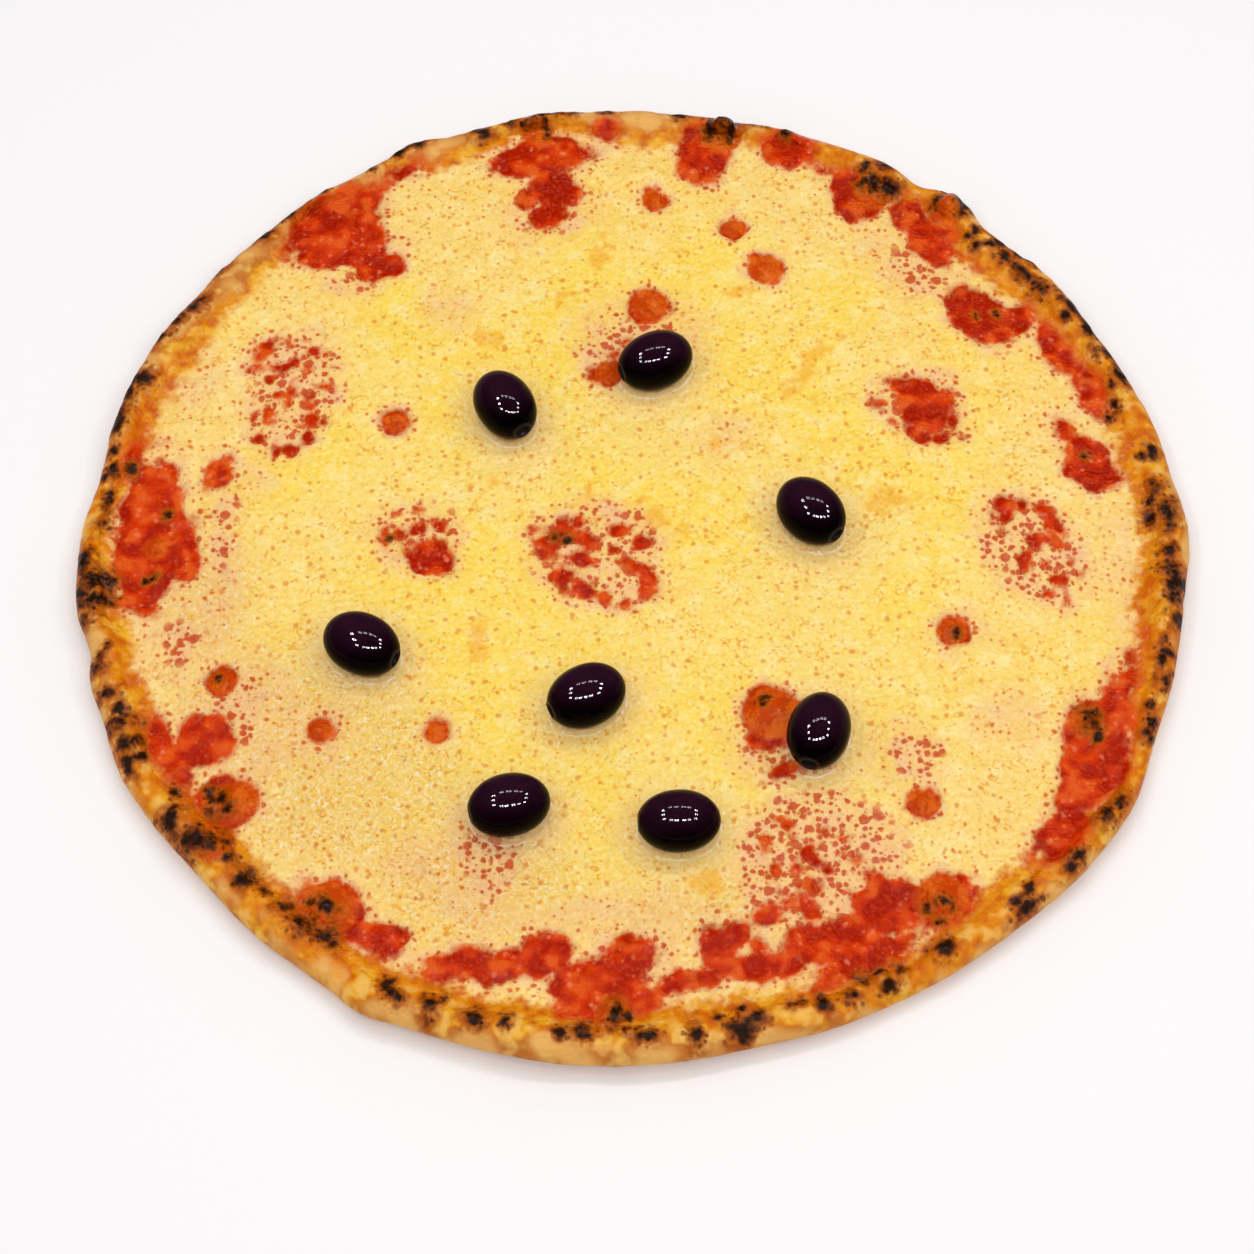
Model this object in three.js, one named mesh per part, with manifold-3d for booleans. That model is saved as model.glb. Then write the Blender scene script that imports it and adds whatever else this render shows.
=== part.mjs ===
// A whole mozzarella pizza: thin dough with a low blistered rim, tomato sauce, melted mozzarella
// with openings that bare the tomato, and eight whole olives.
// Millimetres, +Z up. Places are measured from the middle of the pizza, angles anticlockwise from
// +X in degrees, and the origin ends up under the middle of its bounding box.
import * as THREE from 'three';
import { mergeVertices } from 'three/addons/utils/BufferGeometryUtils.js';
import Module from 'manifold-3d';

// ---- Driving dimensions ----
const PIZZA_RADIUS = 160; // mean radius of the dough's outline
const RIM_WIDTH = 13; // raised rim, where no tomato runs up it
const RIM_CREST = 9.2; // mean height of the rim
const DOUGH_TOP = 3.6; // top of the thin dough inside the rim
const LAYER_GAP = 0.3; // clearance between two layers
const SAUCE_TOP = 4.6; // top of the sauce under the cheese
const PULP_TOP = 6.4; // top of the tomato that shows in an opening
const CHEESE_TOP = 7.1; // mean top of the melted cheese
const CHEESE_EDGE_TOP = 6.9; // where the cheese laps onto the rim
const CHEESE_WAVE = 0.4; // height of its slow waves
const FRONT_LIFT = 1.4; // how far the edge curls off the table at the front
const OLIVE_LENGTH = 23.5;
const OLIVE_WIDTH = 17.5;
const OLIVE_SINK = 1.4; // depth that an olive has sunk into the cheese
const SCAR_RADIUS = 2.6; // stem scar at one end of an olive
const SCAR_DEPTH = 1.0;
const SEGMENTS = 76; // round the pizza

// Bumps round the pizza: [angle, half-width in degrees, height in mm]
const OUTLINE_BUMPS = [
  [48, 3, 2.5],
  [42, 5, -2],
  [53, 3, -2.5],
  [100, 9, 1],
  [113, 3, 2],
  [168, 5, -2.8],
  [190, 3, -3],
  [198, 5, -1.5],
  [220, 15, -3.4],
  [242, 3, 1.6],
  [282, 5, -1.3],
  [318, 9, 2.6],
  [342, 10, 1.5],
];
// The rim is narrower and lower where tomato runs up to its outer edge.
const RIM_BUMPS = [
  [55, 5, -4],
  [69, 4, -8],
  [77, 4, -5],
  [99, 7, -6],
  [116, 3, -6],
  [126, 6, -8],
  [175, 11, -4],
  [219, 5, 3],
  [262, 12, 2],
  [296, 9, -2],
  [329, 9, -8],
];

// Blisters of dough that stand out of the rim: [angle, radius, width, height of the top]
const DOUGH_BLISTERS = [
  [48, 155.5, 11, 12.4],
  [56.5, 149, 10, 12.2],
  [76.5, 155, 12, 13],
  [98.5, 156, 10, 11],
  [184, 152.5, 10, 10.8],
  [203, 151.5, 9, 10.6],
  [218, 149.5, 12, 10.8],
  [233, 146, 11, 10.6],
  [280.5, 150.5, 14, 11],
  [294.5, 153, 11, 10.8],
  [352, 155, 9, 10.4],
];

// Openings in the cheese along the rim: [angle, radius, length along the rim, breadth]
const EDGE_OPENINGS = [
  [8.5, 138, 21, 14],
  [17, 146, 20, 9],
  [26, 145.5, 20, 10],
  [34, 134, 29, 18],
  [47, 141, 26, 8],
  [54, 144, 24, 17],
  [69, 152, 15, 14],
  [78, 143, 20, 20],
  [99, 143.5, 32, 26],
  [114.5, 152, 15, 9],
  [125.5, 143.5, 32, 27],
  [174, 138, 60, 24],
  [205, 136, 25, 20],
  [241.5, 140, 9, 10],
  [251.5, 137.5, 13, 9],
  [258, 136, 16, 7],
  [266, 136, 28, 18],
  [281, 131, 15, 15],
  [289, 131, 22, 15],
  [297, 141, 42, 17],
  [318, 149, 14, 7],
  [326, 150, 27, 16],
  [336, 151, 26, 14],
];

// Openings further in: [x, y, length, breadth, turn of the length from +X]
const INNER_OPENINGS = [
  [-73, 104, 15, 10, -15],
  [-20, 120, 11, 12, 0],
  [-56, -1, 17, 13, -20],
  [-65, 7, 9, 9, 0],
  [-18, 4, 18, 11, -20],
  [-20, -8, 9, 10, 60],
  [-9, -12, 19, 9, -30],
  [-6, 10, 6, 5, 0],
  [4, 3, 7, 7, 0],
  [5, -8, 14, 9, -50],
  [90, 46, 20, 20, -60],
  [115, 9, 11, 8, -60],
  [121, -2, 12, 7, -60],
  [112, -5, 9, 6, 0],
  [-100, 69, 8, 6, 20],
  [-90, 66, 9, 6, 0],
  [-95, 55, 8, 6, 0],
  [-103, 54, 9, 7, 10],
  [-95, 42, 8, 7, 0],
  [-118, 31, 10, 8, 0],
  [47, -103, 9, 7, 30],
  [40, -108, 8, 9, 0],
  [52, -112, 12, 8, -30],
];

// Blisters of sauce that bulge through the cheese: [x, y, width, height of the top]
const SAUCE_BLISTERS = [
  [-111, -78, 14, 9.4],
  [-85, -112, 17, 9.8],
  [-116, -40, 9, 8.6],
  [-88, -57, 8, 8.4],
  [-55, -59, 7, 8.2],
  [-67, 46, 8, 8.2],
  [-137, 5, 8, 8.6],
  [-3, 60, 9, 8.4],
  [10, 84, 12, 8.4],
  [46, 96, 11, 8.6],
  [37, 112, 7, 8.2],
  [13, 124, 8, 8.2],
  [92, -33, 9, 8.6],
  [39, -57, 17, 9.2],
  [79, -87, 9, 8.4],
  [82, -116, 15, 9.2],
  [-8, -144, 9, 10.2],
  [127, -64, 10, 9.8],
];

// Olives: [x, y, direction of the stem scar from +X]
const OLIVES = [
  [-34, 45.2, -62],
  [11.3, 58.7, -158],
  [54, 4.3, -52],
  [-75.8, -34.1, -30],
  [-12.4, -53.3, -155],
  [51.6, -66.8, -108],
  [-34.5, -86.4, -168],
  [11.6, -93.3, 180],
];

// ---- Helpers ----
const { clamp, degToRad, euclideanModulo, lerp, smoothstep } = THREE.MathUtils;
const wasm = await Module();
wasm.setup();

// Sum at one angle of soft bumps, each [angle, half-width, height].
function bumpsAt(angle, bumps) {
  let sum = 0;
  for (const [middle, halfWidth, height] of bumps) {
    const away = euclideanModulo(angle - middle + 180, 360) - 180;
    sum += height * Math.exp(-((away / halfWidth) ** 2));
  }
  return sum;
}

// Uneven ripple between -1 and 1 that closes on itself round the pizza.
function ripple(angle, waves, start) {
  const turn = degToRad(angle);
  return 0.6 * Math.sin(waves * turn + start) + 0.4 * Math.sin((2 * waves + 5) * turn + 2 * start);
}

// Place at an angle and a radius.
function polar(angle, radius) {
  return [radius * Math.cos(degToRad(angle)), radius * Math.sin(degToRad(angle))];
}

// Closed body spun about Z whose profile may change with the angle. profileAt(angle) gives
// [radius, height] points from the axis at the bottom to the axis at the top.
function spun(profileAt, segments) {
  const count = profileAt(0).length;
  const start = profileAt(0).map(([radius, height]) => new THREE.Vector2(radius, height));
  const geometry = new THREE.LatheGeometry(start, segments);
  for (let step = 0; step <= segments; step++) {
    const angle = ((step % segments) * 360) / segments;
    profileAt(angle).forEach(([radius, height], i) => {
      geometry.attributes.position.setXYZ(step * count + i, ...polar(angle, radius), height);
    });
  }
  return geometry;
}

// The geometry as a solid for cutting and joining.
function solid(geometry) {
  const bare = new THREE.BufferGeometry();
  bare.setAttribute('position', geometry.attributes.position);
  bare.setIndex(geometry.index);
  const merged = mergeVertices(bare, 1e-3);
  const corners = merged.index.array;
  const kept = [];
  for (let i = 0; i < corners.length; i += 3) {
    const [a, b, c] = corners.slice(i, i + 3);
    if (a !== b && b !== c && c !== a) kept.push(a, b, c);
  }
  return new wasm.Manifold(new wasm.Mesh({
    numProp: 3,
    vertProperties: merged.attributes.position.array,
    triVerts: new Uint32Array(kept),
  }));
}

// The solid as a geometry again, with flat faces.
function geometryOf(body) {
  const { vertProperties, triVerts } = body.getMesh();
  const geometry = new THREE.BufferGeometry();
  geometry.setAttribute('position', new THREE.BufferAttribute(vertProperties, 3));
  geometry.setIndex(new THREE.BufferAttribute(triVerts, 1));
  const faceted = geometry.toNonIndexed();
  faceted.computeVertexNormals();
  return faceted;
}

function joined(body, others) {
  return others.reduce((sum, other) => sum.add(other), body);
}

function cut(body, others) {
  return others.reduce((rest, other) => rest.subtract(other), body);
}

// The body without the loose scraps that a cut leaves.
function withoutScraps(body) {
  return body.decompose().sort((a, b) => b.volume() - a.volume())[0];
}

// ---- The pizza's uneven shape ----
function outlineRadius(angle) {
  return PIZZA_RADIUS + 0.5 * ripple(angle, 7, 1) + bumpsAt(angle, OUTLINE_BUMPS);
}

function rimWidth(angle) {
  return RIM_WIDTH + 1.0 * ripple(angle, 9, 2) + bumpsAt(angle, RIM_BUMPS);
}

function rimInner(angle) {
  return outlineRadius(angle) - rimWidth(angle);
}

// A narrow stretch of rim stands lower.
function rimCrest(angle) {
  return RIM_CREST + 0.7 * ripple(angle, 11, 3) + 0.2 * (rimWidth(angle) - RIM_WIDTH);
}

// The front edge curls up between the kink at 241 degrees and 285 degrees.
function frontLift(angle) {
  return FRONT_LIFT * smoothstep(angle, 238, 246) * (1 - smoothstep(angle, 272, 288));
}

// Slow waves of the melted cheese.
function cheeseWave(x, y) {
  return CHEESE_WAVE * (0.6 * Math.sin(x / 13 + Math.sin(y / 17)) + 0.4 * Math.sin(y / 11 - x / 23));
}

// ---- Blobs: openings, tomato pads and blisters ----
// Mean half-length at one angle of a wavy blob.
function blobRadius({ x, y, long, wide, turn }, angle) {
  const local = degToRad(angle - turn);
  const ellipse = (long * wide) / 2 / Math.hypot(wide * Math.cos(local), long * Math.sin(local));
  const start = 0.37 * x + 0.53 * y;
  return ellipse * (1 + 0.09 * Math.sin(3 * local + start) + 0.06 * Math.sin(5 * local - 2 * start));
}

const OPENINGS = [
  ...EDGE_OPENINGS.map(([angle, radius, long, wide]) => {
    const [x, y] = polar(angle, radius);
    return { x, y, long, wide, turn: angle + 90 };
  }),
  ...INNER_OPENINGS.map(([x, y, long, wide, turn]) => ({ x, y, long, wide, turn })),
];

// Enough sides for the size of the blob.
function blobSides({ long, wide }) {
  return clamp(Math.round((long + wide) * 0.28), 6, 12);
}

// Body over a blob's outline: rings are [share of the outline's radius, height] from the bottom up.
function overBlob(blob, grow, rings) {
  const profileAt = (angle) => {
    const radius = blobRadius(blob, angle) + grow;
    const first = rings[0][1];
    const last = rings[rings.length - 1][1];
    return [[0, first], ...rings.map(([share, height]) => [share * radius, height]), [0, last + 0.2]];
  };
  return solid(spun(profileAt, blobSides(blob)).translate(blob.x, blob.y, 0));
}

// Tomato pulp that fills an opening, from within the sauce up to a lumpy top.
function pulpPad(blob) {
  return overBlob(blob, 0, [[1, SAUCE_TOP - 0.4], [1, PULP_TOP - 1], [0.75, PULP_TOP - 0.1]]);
}

function openingCutter(blob) {
  return overBlob(blob, LAYER_GAP, [[1, 0], [1, 20]]);
}

// Round blister that rises out of the layer it belongs to.
function blister({ blob, foot, top }) {
  const rise = top - foot;
  return overBlob(blob, 0, [
    [1, foot],
    [1, foot + 0.35 * rise],
    [0.8, foot + 0.72 * rise],
    [0.42, foot + 0.95 * rise],
  ]);
}

function roundBlob(x, y, width) {
  return { x, y, long: width, wide: width, turn: 0 };
}

const DOUGH_DOMES = DOUGH_BLISTERS.map(([angle, radius, width, top]) => (
  { blob: roundBlob(...polar(angle, radius), width), foot: DOUGH_TOP - 1, top }
));
const SAUCE_DOMES = SAUCE_BLISTERS.map(([x, y, width, top]) => (
  { blob: roundBlob(x, y, width), foot: SAUCE_TOP - 0.5, top }
));

// ---- Crust ----
// Inner slope of the rim, from its crest down to the flat dough
function innerSlope(angle) {
  const inner = rimInner(angle);
  const width = rimWidth(angle);
  const crest = rimCrest(angle);
  return [
    [inner + 0.55 * width, crest],
    [inner + 0.26 * width, lerp(DOUGH_TOP, crest, 0.65)],
    [inner, DOUGH_TOP],
  ];
}

function crustProfile(angle) {
  const outer = outlineRadius(angle);
  const crest = rimCrest(angle);
  const lift = frontLift(angle);
  return [
    [0, 0],
    [outer - 14, 0],
    [outer - 4.5, 0.7 + 0.6 * lift],
    [outer - 1.2, 2.2 + lift],
    [outer, 4.4 + lift],
    [outer - 0.7, 0.72 * crest + lift],
    [outer - 0.22 * rimWidth(angle), crest - 0.5 + 0.5 * lift],
    ...innerSlope(angle),
    [0, DOUGH_TOP],
  ];
}

function makeCrust() {
  return joined(solid(spun(crustProfile, SEGMENTS)), DOUGH_DOMES.map(blister));
}

// ---- Tomato sauce ----
function sauceProfile(angle) {
  const edge = rimInner(angle) - 0.2;
  const bottom = DOUGH_TOP + LAYER_GAP;
  return [[0, bottom], [edge, bottom], [edge, SAUCE_TOP], [0, SAUCE_TOP]];
}

// Room above the dough and inside the rim: what a topping may fill
function toppingRoom() {
  const ceiling = 20;
  return solid(spun((angle) => {
    const slope = innerSlope(angle).map(([radius, height]) => [radius - LAYER_GAP, height + LAYER_GAP]);
    const [[mouth]] = slope;
    return [[0, DOUGH_TOP + LAYER_GAP], ...slope.reverse(), [mouth, ceiling], [0, ceiling]];
  }, SEGMENTS));
}

function makeSauce(olivePockets) {
  const pads = OPENINGS.map(pulpPad);
  const slab = solid(spun(sauceProfile, SEGMENTS));
  const sauce = joined(slab, [...pads, ...SAUCE_DOMES.map(blister)]).intersect(toppingRoom());
  const roundDough = DOUGH_DOMES.map(({ blob }) => openingCutter(blob));
  return withoutScraps(cut(sauce, [...roundDough, ...olivePockets]));
}

// ---- Mozzarella ----
const CHEESE_RINGS = [0.97, 0.85, 0.71, 0.57, 0.43, 0.29, 0.15];

function cheeseProfile(angle) {
  const inner = rimInner(angle);
  const bottom = SAUCE_TOP + LAYER_GAP;
  const top = CHEESE_RINGS.map((share) => {
    const radius = share * inner;
    return [radius, CHEESE_TOP + cheeseWave(...polar(angle, radius))];
  });
  const lap = inner + 0.35 * rimWidth(angle);
  return [[0, bottom], [lap, bottom], [lap, CHEESE_EDGE_TOP], ...top, [0, CHEESE_TOP]];
}

function makeCheese(olivePockets) {
  const sheet = solid(spun(cheeseProfile, SEGMENTS)).intersect(toppingRoom());
  return withoutScraps(cut(sheet, [
    ...OPENINGS.map(openingCutter),
    ...[...SAUCE_DOMES, ...DOUGH_DOMES].map(({ blob }) => openingCutter(blob)),
    ...olivePockets,
  ]));
}

// ---- Olives ----
// Stations along an olive's axis, as shares of its half-length, from the plain end to the stem end
const OLIVE_STATIONS = [-0.92, -0.68, -0.3, 0.1, 0.5, 0.82];
const OLIVE_SEGMENTS = 12;

// Olive along Z, a little blunter at the stem end, with the stem's scar sunk into that end.
function oliveShape(grow) {
  const half = OLIVE_LENGTH / 2;
  const side = OLIVE_STATIONS.map((share) => {
    const radius = (OLIVE_WIDTH / 2) * Math.sqrt(1 - Math.abs(share) ** 2.2);
    return [radius + grow, share * (half + grow)];
  });
  const scar = [
    [SCAR_RADIUS, half + grow],
    [0.6 * SCAR_RADIUS, half - SCAR_DEPTH],
    [0, half - SCAR_DEPTH],
  ];
  return spun(() => [[0, -half - grow], ...side, ...scar], OLIVE_SEGMENTS);
}

// Olive lying in the cheese, with its stem scar towards the given direction and slightly up.
function oliveMesh([x, y, heading], number, grow) {
  const mesh = new THREE.Mesh(oliveShape(grow), MATERIALS.olive);
  mesh.name = `olive_${number}`;
  mesh.rotation.set(0, degToRad(88), degToRad(heading), 'ZYX');
  mesh.position.set(x, y, CHEESE_TOP + cheeseWave(x, y) + OLIVE_WIDTH / 2 - OLIVE_SINK);
  mesh.updateMatrixWorld(true);
  return mesh;
}

function olivePocket(olive) {
  const mesh = oliveMesh(olive, 0, 1.2 * LAYER_GAP);
  return solid(mesh.geometry.clone().applyMatrix4(mesh.matrixWorld));
}

// ---- The whole pizza ----
const MATERIALS = {
  crust: new THREE.MeshStandardMaterial({ color: 0xe3bd84, roughness: 0.85, metalness: 0 }),
  sauce: new THREE.MeshStandardMaterial({ color: 0xc63214, roughness: 0.35, metalness: 0 }),
  cheese: new THREE.MeshStandardMaterial({ color: 0xf7dc86, roughness: 0.4, metalness: 0 }),
  olive: new THREE.MeshStandardMaterial({ color: 0x1c0d1e, roughness: 0.15, metalness: 0 }),
};

function layer(name, body, material) {
  const mesh = new THREE.Mesh(geometryOf(body), material);
  mesh.name = name;
  return mesh;
}

const pockets = OLIVES.map(olivePocket);
const pizza = new THREE.Group();
pizza.add(layer('crust', makeCrust(), MATERIALS.crust));
pizza.add(layer('tomato_sauce', makeSauce(pockets), MATERIALS.sauce));
pizza.add(layer('mozzarella', makeCheese(pockets), MATERIALS.cheese));
OLIVES.forEach((olive, i) => pizza.add(oliveMesh(olive, i + 1, 0)));

const middle = new THREE.Box3().setFromObject(pizza).getCenter(new THREE.Vector3());
pizza.position.set(-middle.x, -middle.y, 0);

export default pizza;
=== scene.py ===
# %% [markdown]
# # Dressing a mozzarella pizza
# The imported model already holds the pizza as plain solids: a crust, a sheet of tomato sauce, a
# sheet of mozzarella and eight olives. This lesson gives each of them its baked skin. We load the
# frame first, because every size and place that follows is measured from it.

# %% Load the frame
from math import cos, pi, radians, sin

import bpy
import numpy as np
from mathutils import Matrix, Vector


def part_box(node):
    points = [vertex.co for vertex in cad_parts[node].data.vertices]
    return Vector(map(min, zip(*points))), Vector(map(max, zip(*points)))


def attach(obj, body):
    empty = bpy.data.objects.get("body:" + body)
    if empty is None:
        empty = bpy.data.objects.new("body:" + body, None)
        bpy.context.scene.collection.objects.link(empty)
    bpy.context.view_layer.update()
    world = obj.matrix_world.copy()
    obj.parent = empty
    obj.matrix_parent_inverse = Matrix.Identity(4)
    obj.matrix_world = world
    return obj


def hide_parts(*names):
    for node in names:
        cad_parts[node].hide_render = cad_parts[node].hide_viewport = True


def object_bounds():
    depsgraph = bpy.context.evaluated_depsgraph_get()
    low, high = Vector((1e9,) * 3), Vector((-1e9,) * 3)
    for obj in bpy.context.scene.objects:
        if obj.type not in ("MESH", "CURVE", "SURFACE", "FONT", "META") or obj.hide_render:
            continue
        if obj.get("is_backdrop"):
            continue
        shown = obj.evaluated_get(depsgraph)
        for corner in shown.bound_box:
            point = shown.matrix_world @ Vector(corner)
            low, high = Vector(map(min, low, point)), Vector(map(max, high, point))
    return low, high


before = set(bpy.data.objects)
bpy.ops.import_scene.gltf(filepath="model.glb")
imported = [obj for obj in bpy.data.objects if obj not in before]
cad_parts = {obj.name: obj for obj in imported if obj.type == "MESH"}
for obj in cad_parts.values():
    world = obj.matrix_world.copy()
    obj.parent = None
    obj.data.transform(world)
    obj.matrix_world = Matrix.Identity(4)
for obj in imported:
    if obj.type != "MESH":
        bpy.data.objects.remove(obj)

cad_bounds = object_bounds()
print("CAD box", [tuple(round(value, 4) for value in corner) for corner in cad_bounds])

# %% [markdown]
# ## The pizza's own measures
# A pizza is round only at first sight. Its outline, the width of its rim and the height of the rim
# wander as you walk round it. We could sculpt that by hand, but functions of the angle keep the
# crust, the sauce and the cheese in step, so they are the same functions that shaped the solids.
# Lengths here are in millimetres, angles in degrees anticlockwise from +X.

# %% Sizes and the wandering outline
MM = 0.001
PIZZA_RADIUS = 160
RIM_WIDTH = 13
RIM_CREST = 9.2
DOUGH_TOP = 3.6
SAUCE_TOP = 4.6
PULP_TOP = 6.3
CHEESE_TOP = 7.1
FRONT_LIFT = 1.4
SEGMENTS = 76

OUTLINE_BUMPS = [
    (48, 3, 2.5), (42, 5, -2), (53, 3, -2.5), (100, 9, 1), (113, 3, 2), (168, 5, -2.8), (190, 3, -3),
    (198, 5, -1.5), (220, 15, -3.4), (242, 3, 1.6), (282, 5, -1.3), (318, 9, 2.6), (342, 10, 1.5),
]
RIM_BUMPS = [
    (55, 5, -4), (69, 4, -8), (77, 4, -5), (99, 7, -6), (116, 3, -6), (126, 6, -8), (175, 11, -4),
    (219, 5, 3), (262, 12, 2), (296, 9, -2), (329, 9, -8),
]


def bumps_at(angle, bumps):
    """Sum of soft bumps at each angle, every bump a (middle, half-width, height)."""
    total = np.zeros_like(angle, dtype=float)
    for middle, half_width, height in bumps:
        away = (angle - middle + 180) % 360 - 180
        total += height * np.exp(-(away / half_width) ** 2)
    return total


def ripple(angle, waves, start):
    """Uneven ripple between -1 and 1 that closes on itself round the pizza."""
    turn = np.radians(angle)
    return 0.6 * np.sin(waves * turn + start) + 0.4 * np.sin((2 * waves + 5) * turn + 2 * start)


def outline_radius(angle):
    return PIZZA_RADIUS + 0.5 * ripple(angle, 7, 1) + bumps_at(angle, OUTLINE_BUMPS)


def rim_width(angle):
    return RIM_WIDTH + ripple(angle, 9, 2) + bumps_at(angle, RIM_BUMPS)


def rim_inner(angle):
    return outline_radius(angle) - rim_width(angle)


def rim_crest(angle):
    return RIM_CREST + 0.7 * ripple(angle, 11, 3) + 0.2 * (rim_width(angle) - RIM_WIDTH)


def smooth(value, low, high):
    """0 below low, 1 above high and a soft S between; low may be the larger one."""
    share = np.clip((np.asarray(value, dtype=float) - low) / (high - low), 0, 1)
    return share * share * (3 - 2 * share)


def front_lift(angle):
    """The front edge curls off the table between 241 and 285 degrees."""
    return FRONT_LIFT * smooth(angle, 238, 246) * smooth(angle, 288, 272)


steps = np.arange(SEGMENTS) * 360 / SEGMENTS
ring_x = outline_radius(steps) * np.cos(np.radians(steps))
ring_y = outline_radius(steps) * np.sin(np.radians(steps))
crust_low, crust_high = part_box("crust")
SHIFT_X = (crust_low.x + crust_high.x) / 2 - (ring_x.min() + ring_x.max()) / 2 * MM
SHIFT_Y = (crust_low.y + crust_high.y) / 2 - (ring_y.min() + ring_y.max()) / 2 * MM
# The plain solid leaves out the last swellings of the right edge
OUTLINE_BUMPS += [(-1, 8, 3.1), (11, 5, 1.4), (328, 6, 3.2)]
RIM_BUMPS += [(328, 6, 3)]
print("outline", round(np.ptp(ring_x), 1), "x", round(np.ptp(ring_y), 1), "mm, shift", SHIFT_X, SHIFT_Y)

# %% [markdown]
# ## Camera, floor and light
# The photograph looks down at about 61 degrees from 0.87 m away, with a slight roll. A long lens
# keeps the far rim almost as large as the near one. The light is a bright, soft room: a pale world,
# one broad lamp and an overhead frame of small lamps. A lens sees such lamps far brighter in a wet
# skin than the room round them, and plain white light would veil the food. So the room is left out
# of reflections, and the frame is made twice: one set lights the food and puts small glints on it,
# the other only shines in the olives, as the rows of dots on each. Straight ("Standard") colours
# keep the cheese as yellow as it is.

# %% Camera
CAMERA_PLACE = (-0.5, -445.5, 752.7)
CAMERA_RIGHT = Vector((0.9992, -0.0343, -0.0192))
CAMERA_BACK = Vector((0, -0.4887, 0.8724))
FOCAL_MM = 85.84
SENSOR_MM = 36


def to_world(x, y, z):
    """A place in the pizza's millimetres as a place in the scene's metres."""
    return Vector((x * MM + SHIFT_X, y * MM + SHIFT_Y, z * MM))


def look(location, right, back):
    """Matrix that places a camera or a lamp, with its own right and backward directions."""
    back = back.normalized()
    up = back.cross(right).normalized()
    turn = Matrix((up.cross(back), up, back)).transposed()
    return Matrix.Translation(location) @ turn.to_4x4()


camera = bpy.data.objects.new("camera", bpy.data.cameras.new("camera"))
bpy.context.scene.collection.objects.link(camera)
camera.data.lens = FOCAL_MM
camera.data.sensor_width = SENSOR_MM
camera.matrix_world = look(to_world(*CAMERA_PLACE), CAMERA_RIGHT, CAMERA_BACK)
bpy.context.scene.camera = camera
print("camera", tuple(round(value, 4) for value in camera.location))

# %% Floor
bpy.ops.object.select_all(action="DESELECT")
bpy.ops.mesh.primitive_plane_add(size=6, location=(0, 0, 0))
floor = bpy.context.object
floor.name = "floor"
floor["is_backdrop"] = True

# %% Lights
ROOM_STRENGTH = 0.445
OVERHEAD_SIZE = 4.5
OVERHEAD_WATTS = 13
scene = bpy.context.scene
scene.view_settings.view_transform = "Standard"
scene.view_settings.look = "None"
world = bpy.data.worlds.new("bright room")
scene.world = world
world.use_nodes = True
world.node_tree.nodes["Background"].inputs["Color"].default_value = (1, 0.995, 0.985, 1)
world.node_tree.nodes["Background"].inputs["Strength"].default_value = ROOM_STRENGTH
world.cycles_visibility.glossy = False


def add_lamp(name, place, target, width, height, watts):
    """Rectangular lamp in metres that shines at the target."""
    lamp = bpy.data.objects.new(name, bpy.data.lights.new(name, "AREA"))
    lamp.data.shape = "RECTANGLE"
    lamp.data.size = width
    lamp.data.size_y = height
    lamp.data.energy = watts
    scene.collection.objects.link(lamp)
    back = Vector(place) - Vector(target)
    lamp.matrix_world = look(Vector(place), Vector((1, 0, 0.001)), back)
    return lamp


soft_lamp = add_lamp("overhead", (-0.1, 0.15, 1.7), (0, 0, 0), OVERHEAD_SIZE, OVERHEAD_SIZE,
                     OVERHEAD_WATTS)
soft_lamp.visible_glossy = False
print("room strength", ROOM_STRENGTH, "and one broad lamp of", OVERHEAD_WATTS, "W")

# %% Frame of small lamps
# Small lamps in an overhead frame: their places as shares of its half-width and half-depth, and
# how bright each shines
DOT_PLACES = [(-0.5, -1, 0.6), (-0.2, -1.04, 1), (0.16, -1.02, 1), (0.5, -0.96, 0.7)]
DOT_PLACES += [(x, 1, 0.2) for x in (-0.5, -0.18, 0.16, 0.48)]
DOT_PLACES += [(side, y, 0.9) for side in (-1, 1) for y in (-0.75, 0, 0.7)]
FRAME_MIDDLE = (0.13, -0.12, 1.0)
FRAME_HALF_WIDTH = 0.68
FRAME_HALF_DEPTH = 0.45
LIGHTING_SIZE = 0.07
LIGHTING_WATTS = 0.56
SHINING_WIDTH = 0.13
SHINING_HEIGHT = 0.1
SHINING_WATTS = 34
olive_skins = bpy.data.collections.new("olive skins")
for number, (across, along, bright) in enumerate(DOT_PLACES):
    place = (FRAME_MIDDLE[0] + across * FRAME_HALF_WIDTH, FRAME_MIDDLE[1] + along * FRAME_HALF_DEPTH,
             FRAME_MIDDLE[2])
    add_lamp(f"lighting_{number}", place, (0, 0, 0), LIGHTING_SIZE, LIGHTING_SIZE, LIGHTING_WATTS)
    shining = add_lamp(f"shining_{number}", place, (0, 0, 0), SHINING_WIDTH, SHINING_HEIGHT,
                       SHINING_WATTS * bright)
    shining.visible_diffuse = False
    shining.light_linking.receiver_collection = olive_skins
print(len(DOT_PLACES), "places for small lamps overhead")
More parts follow.
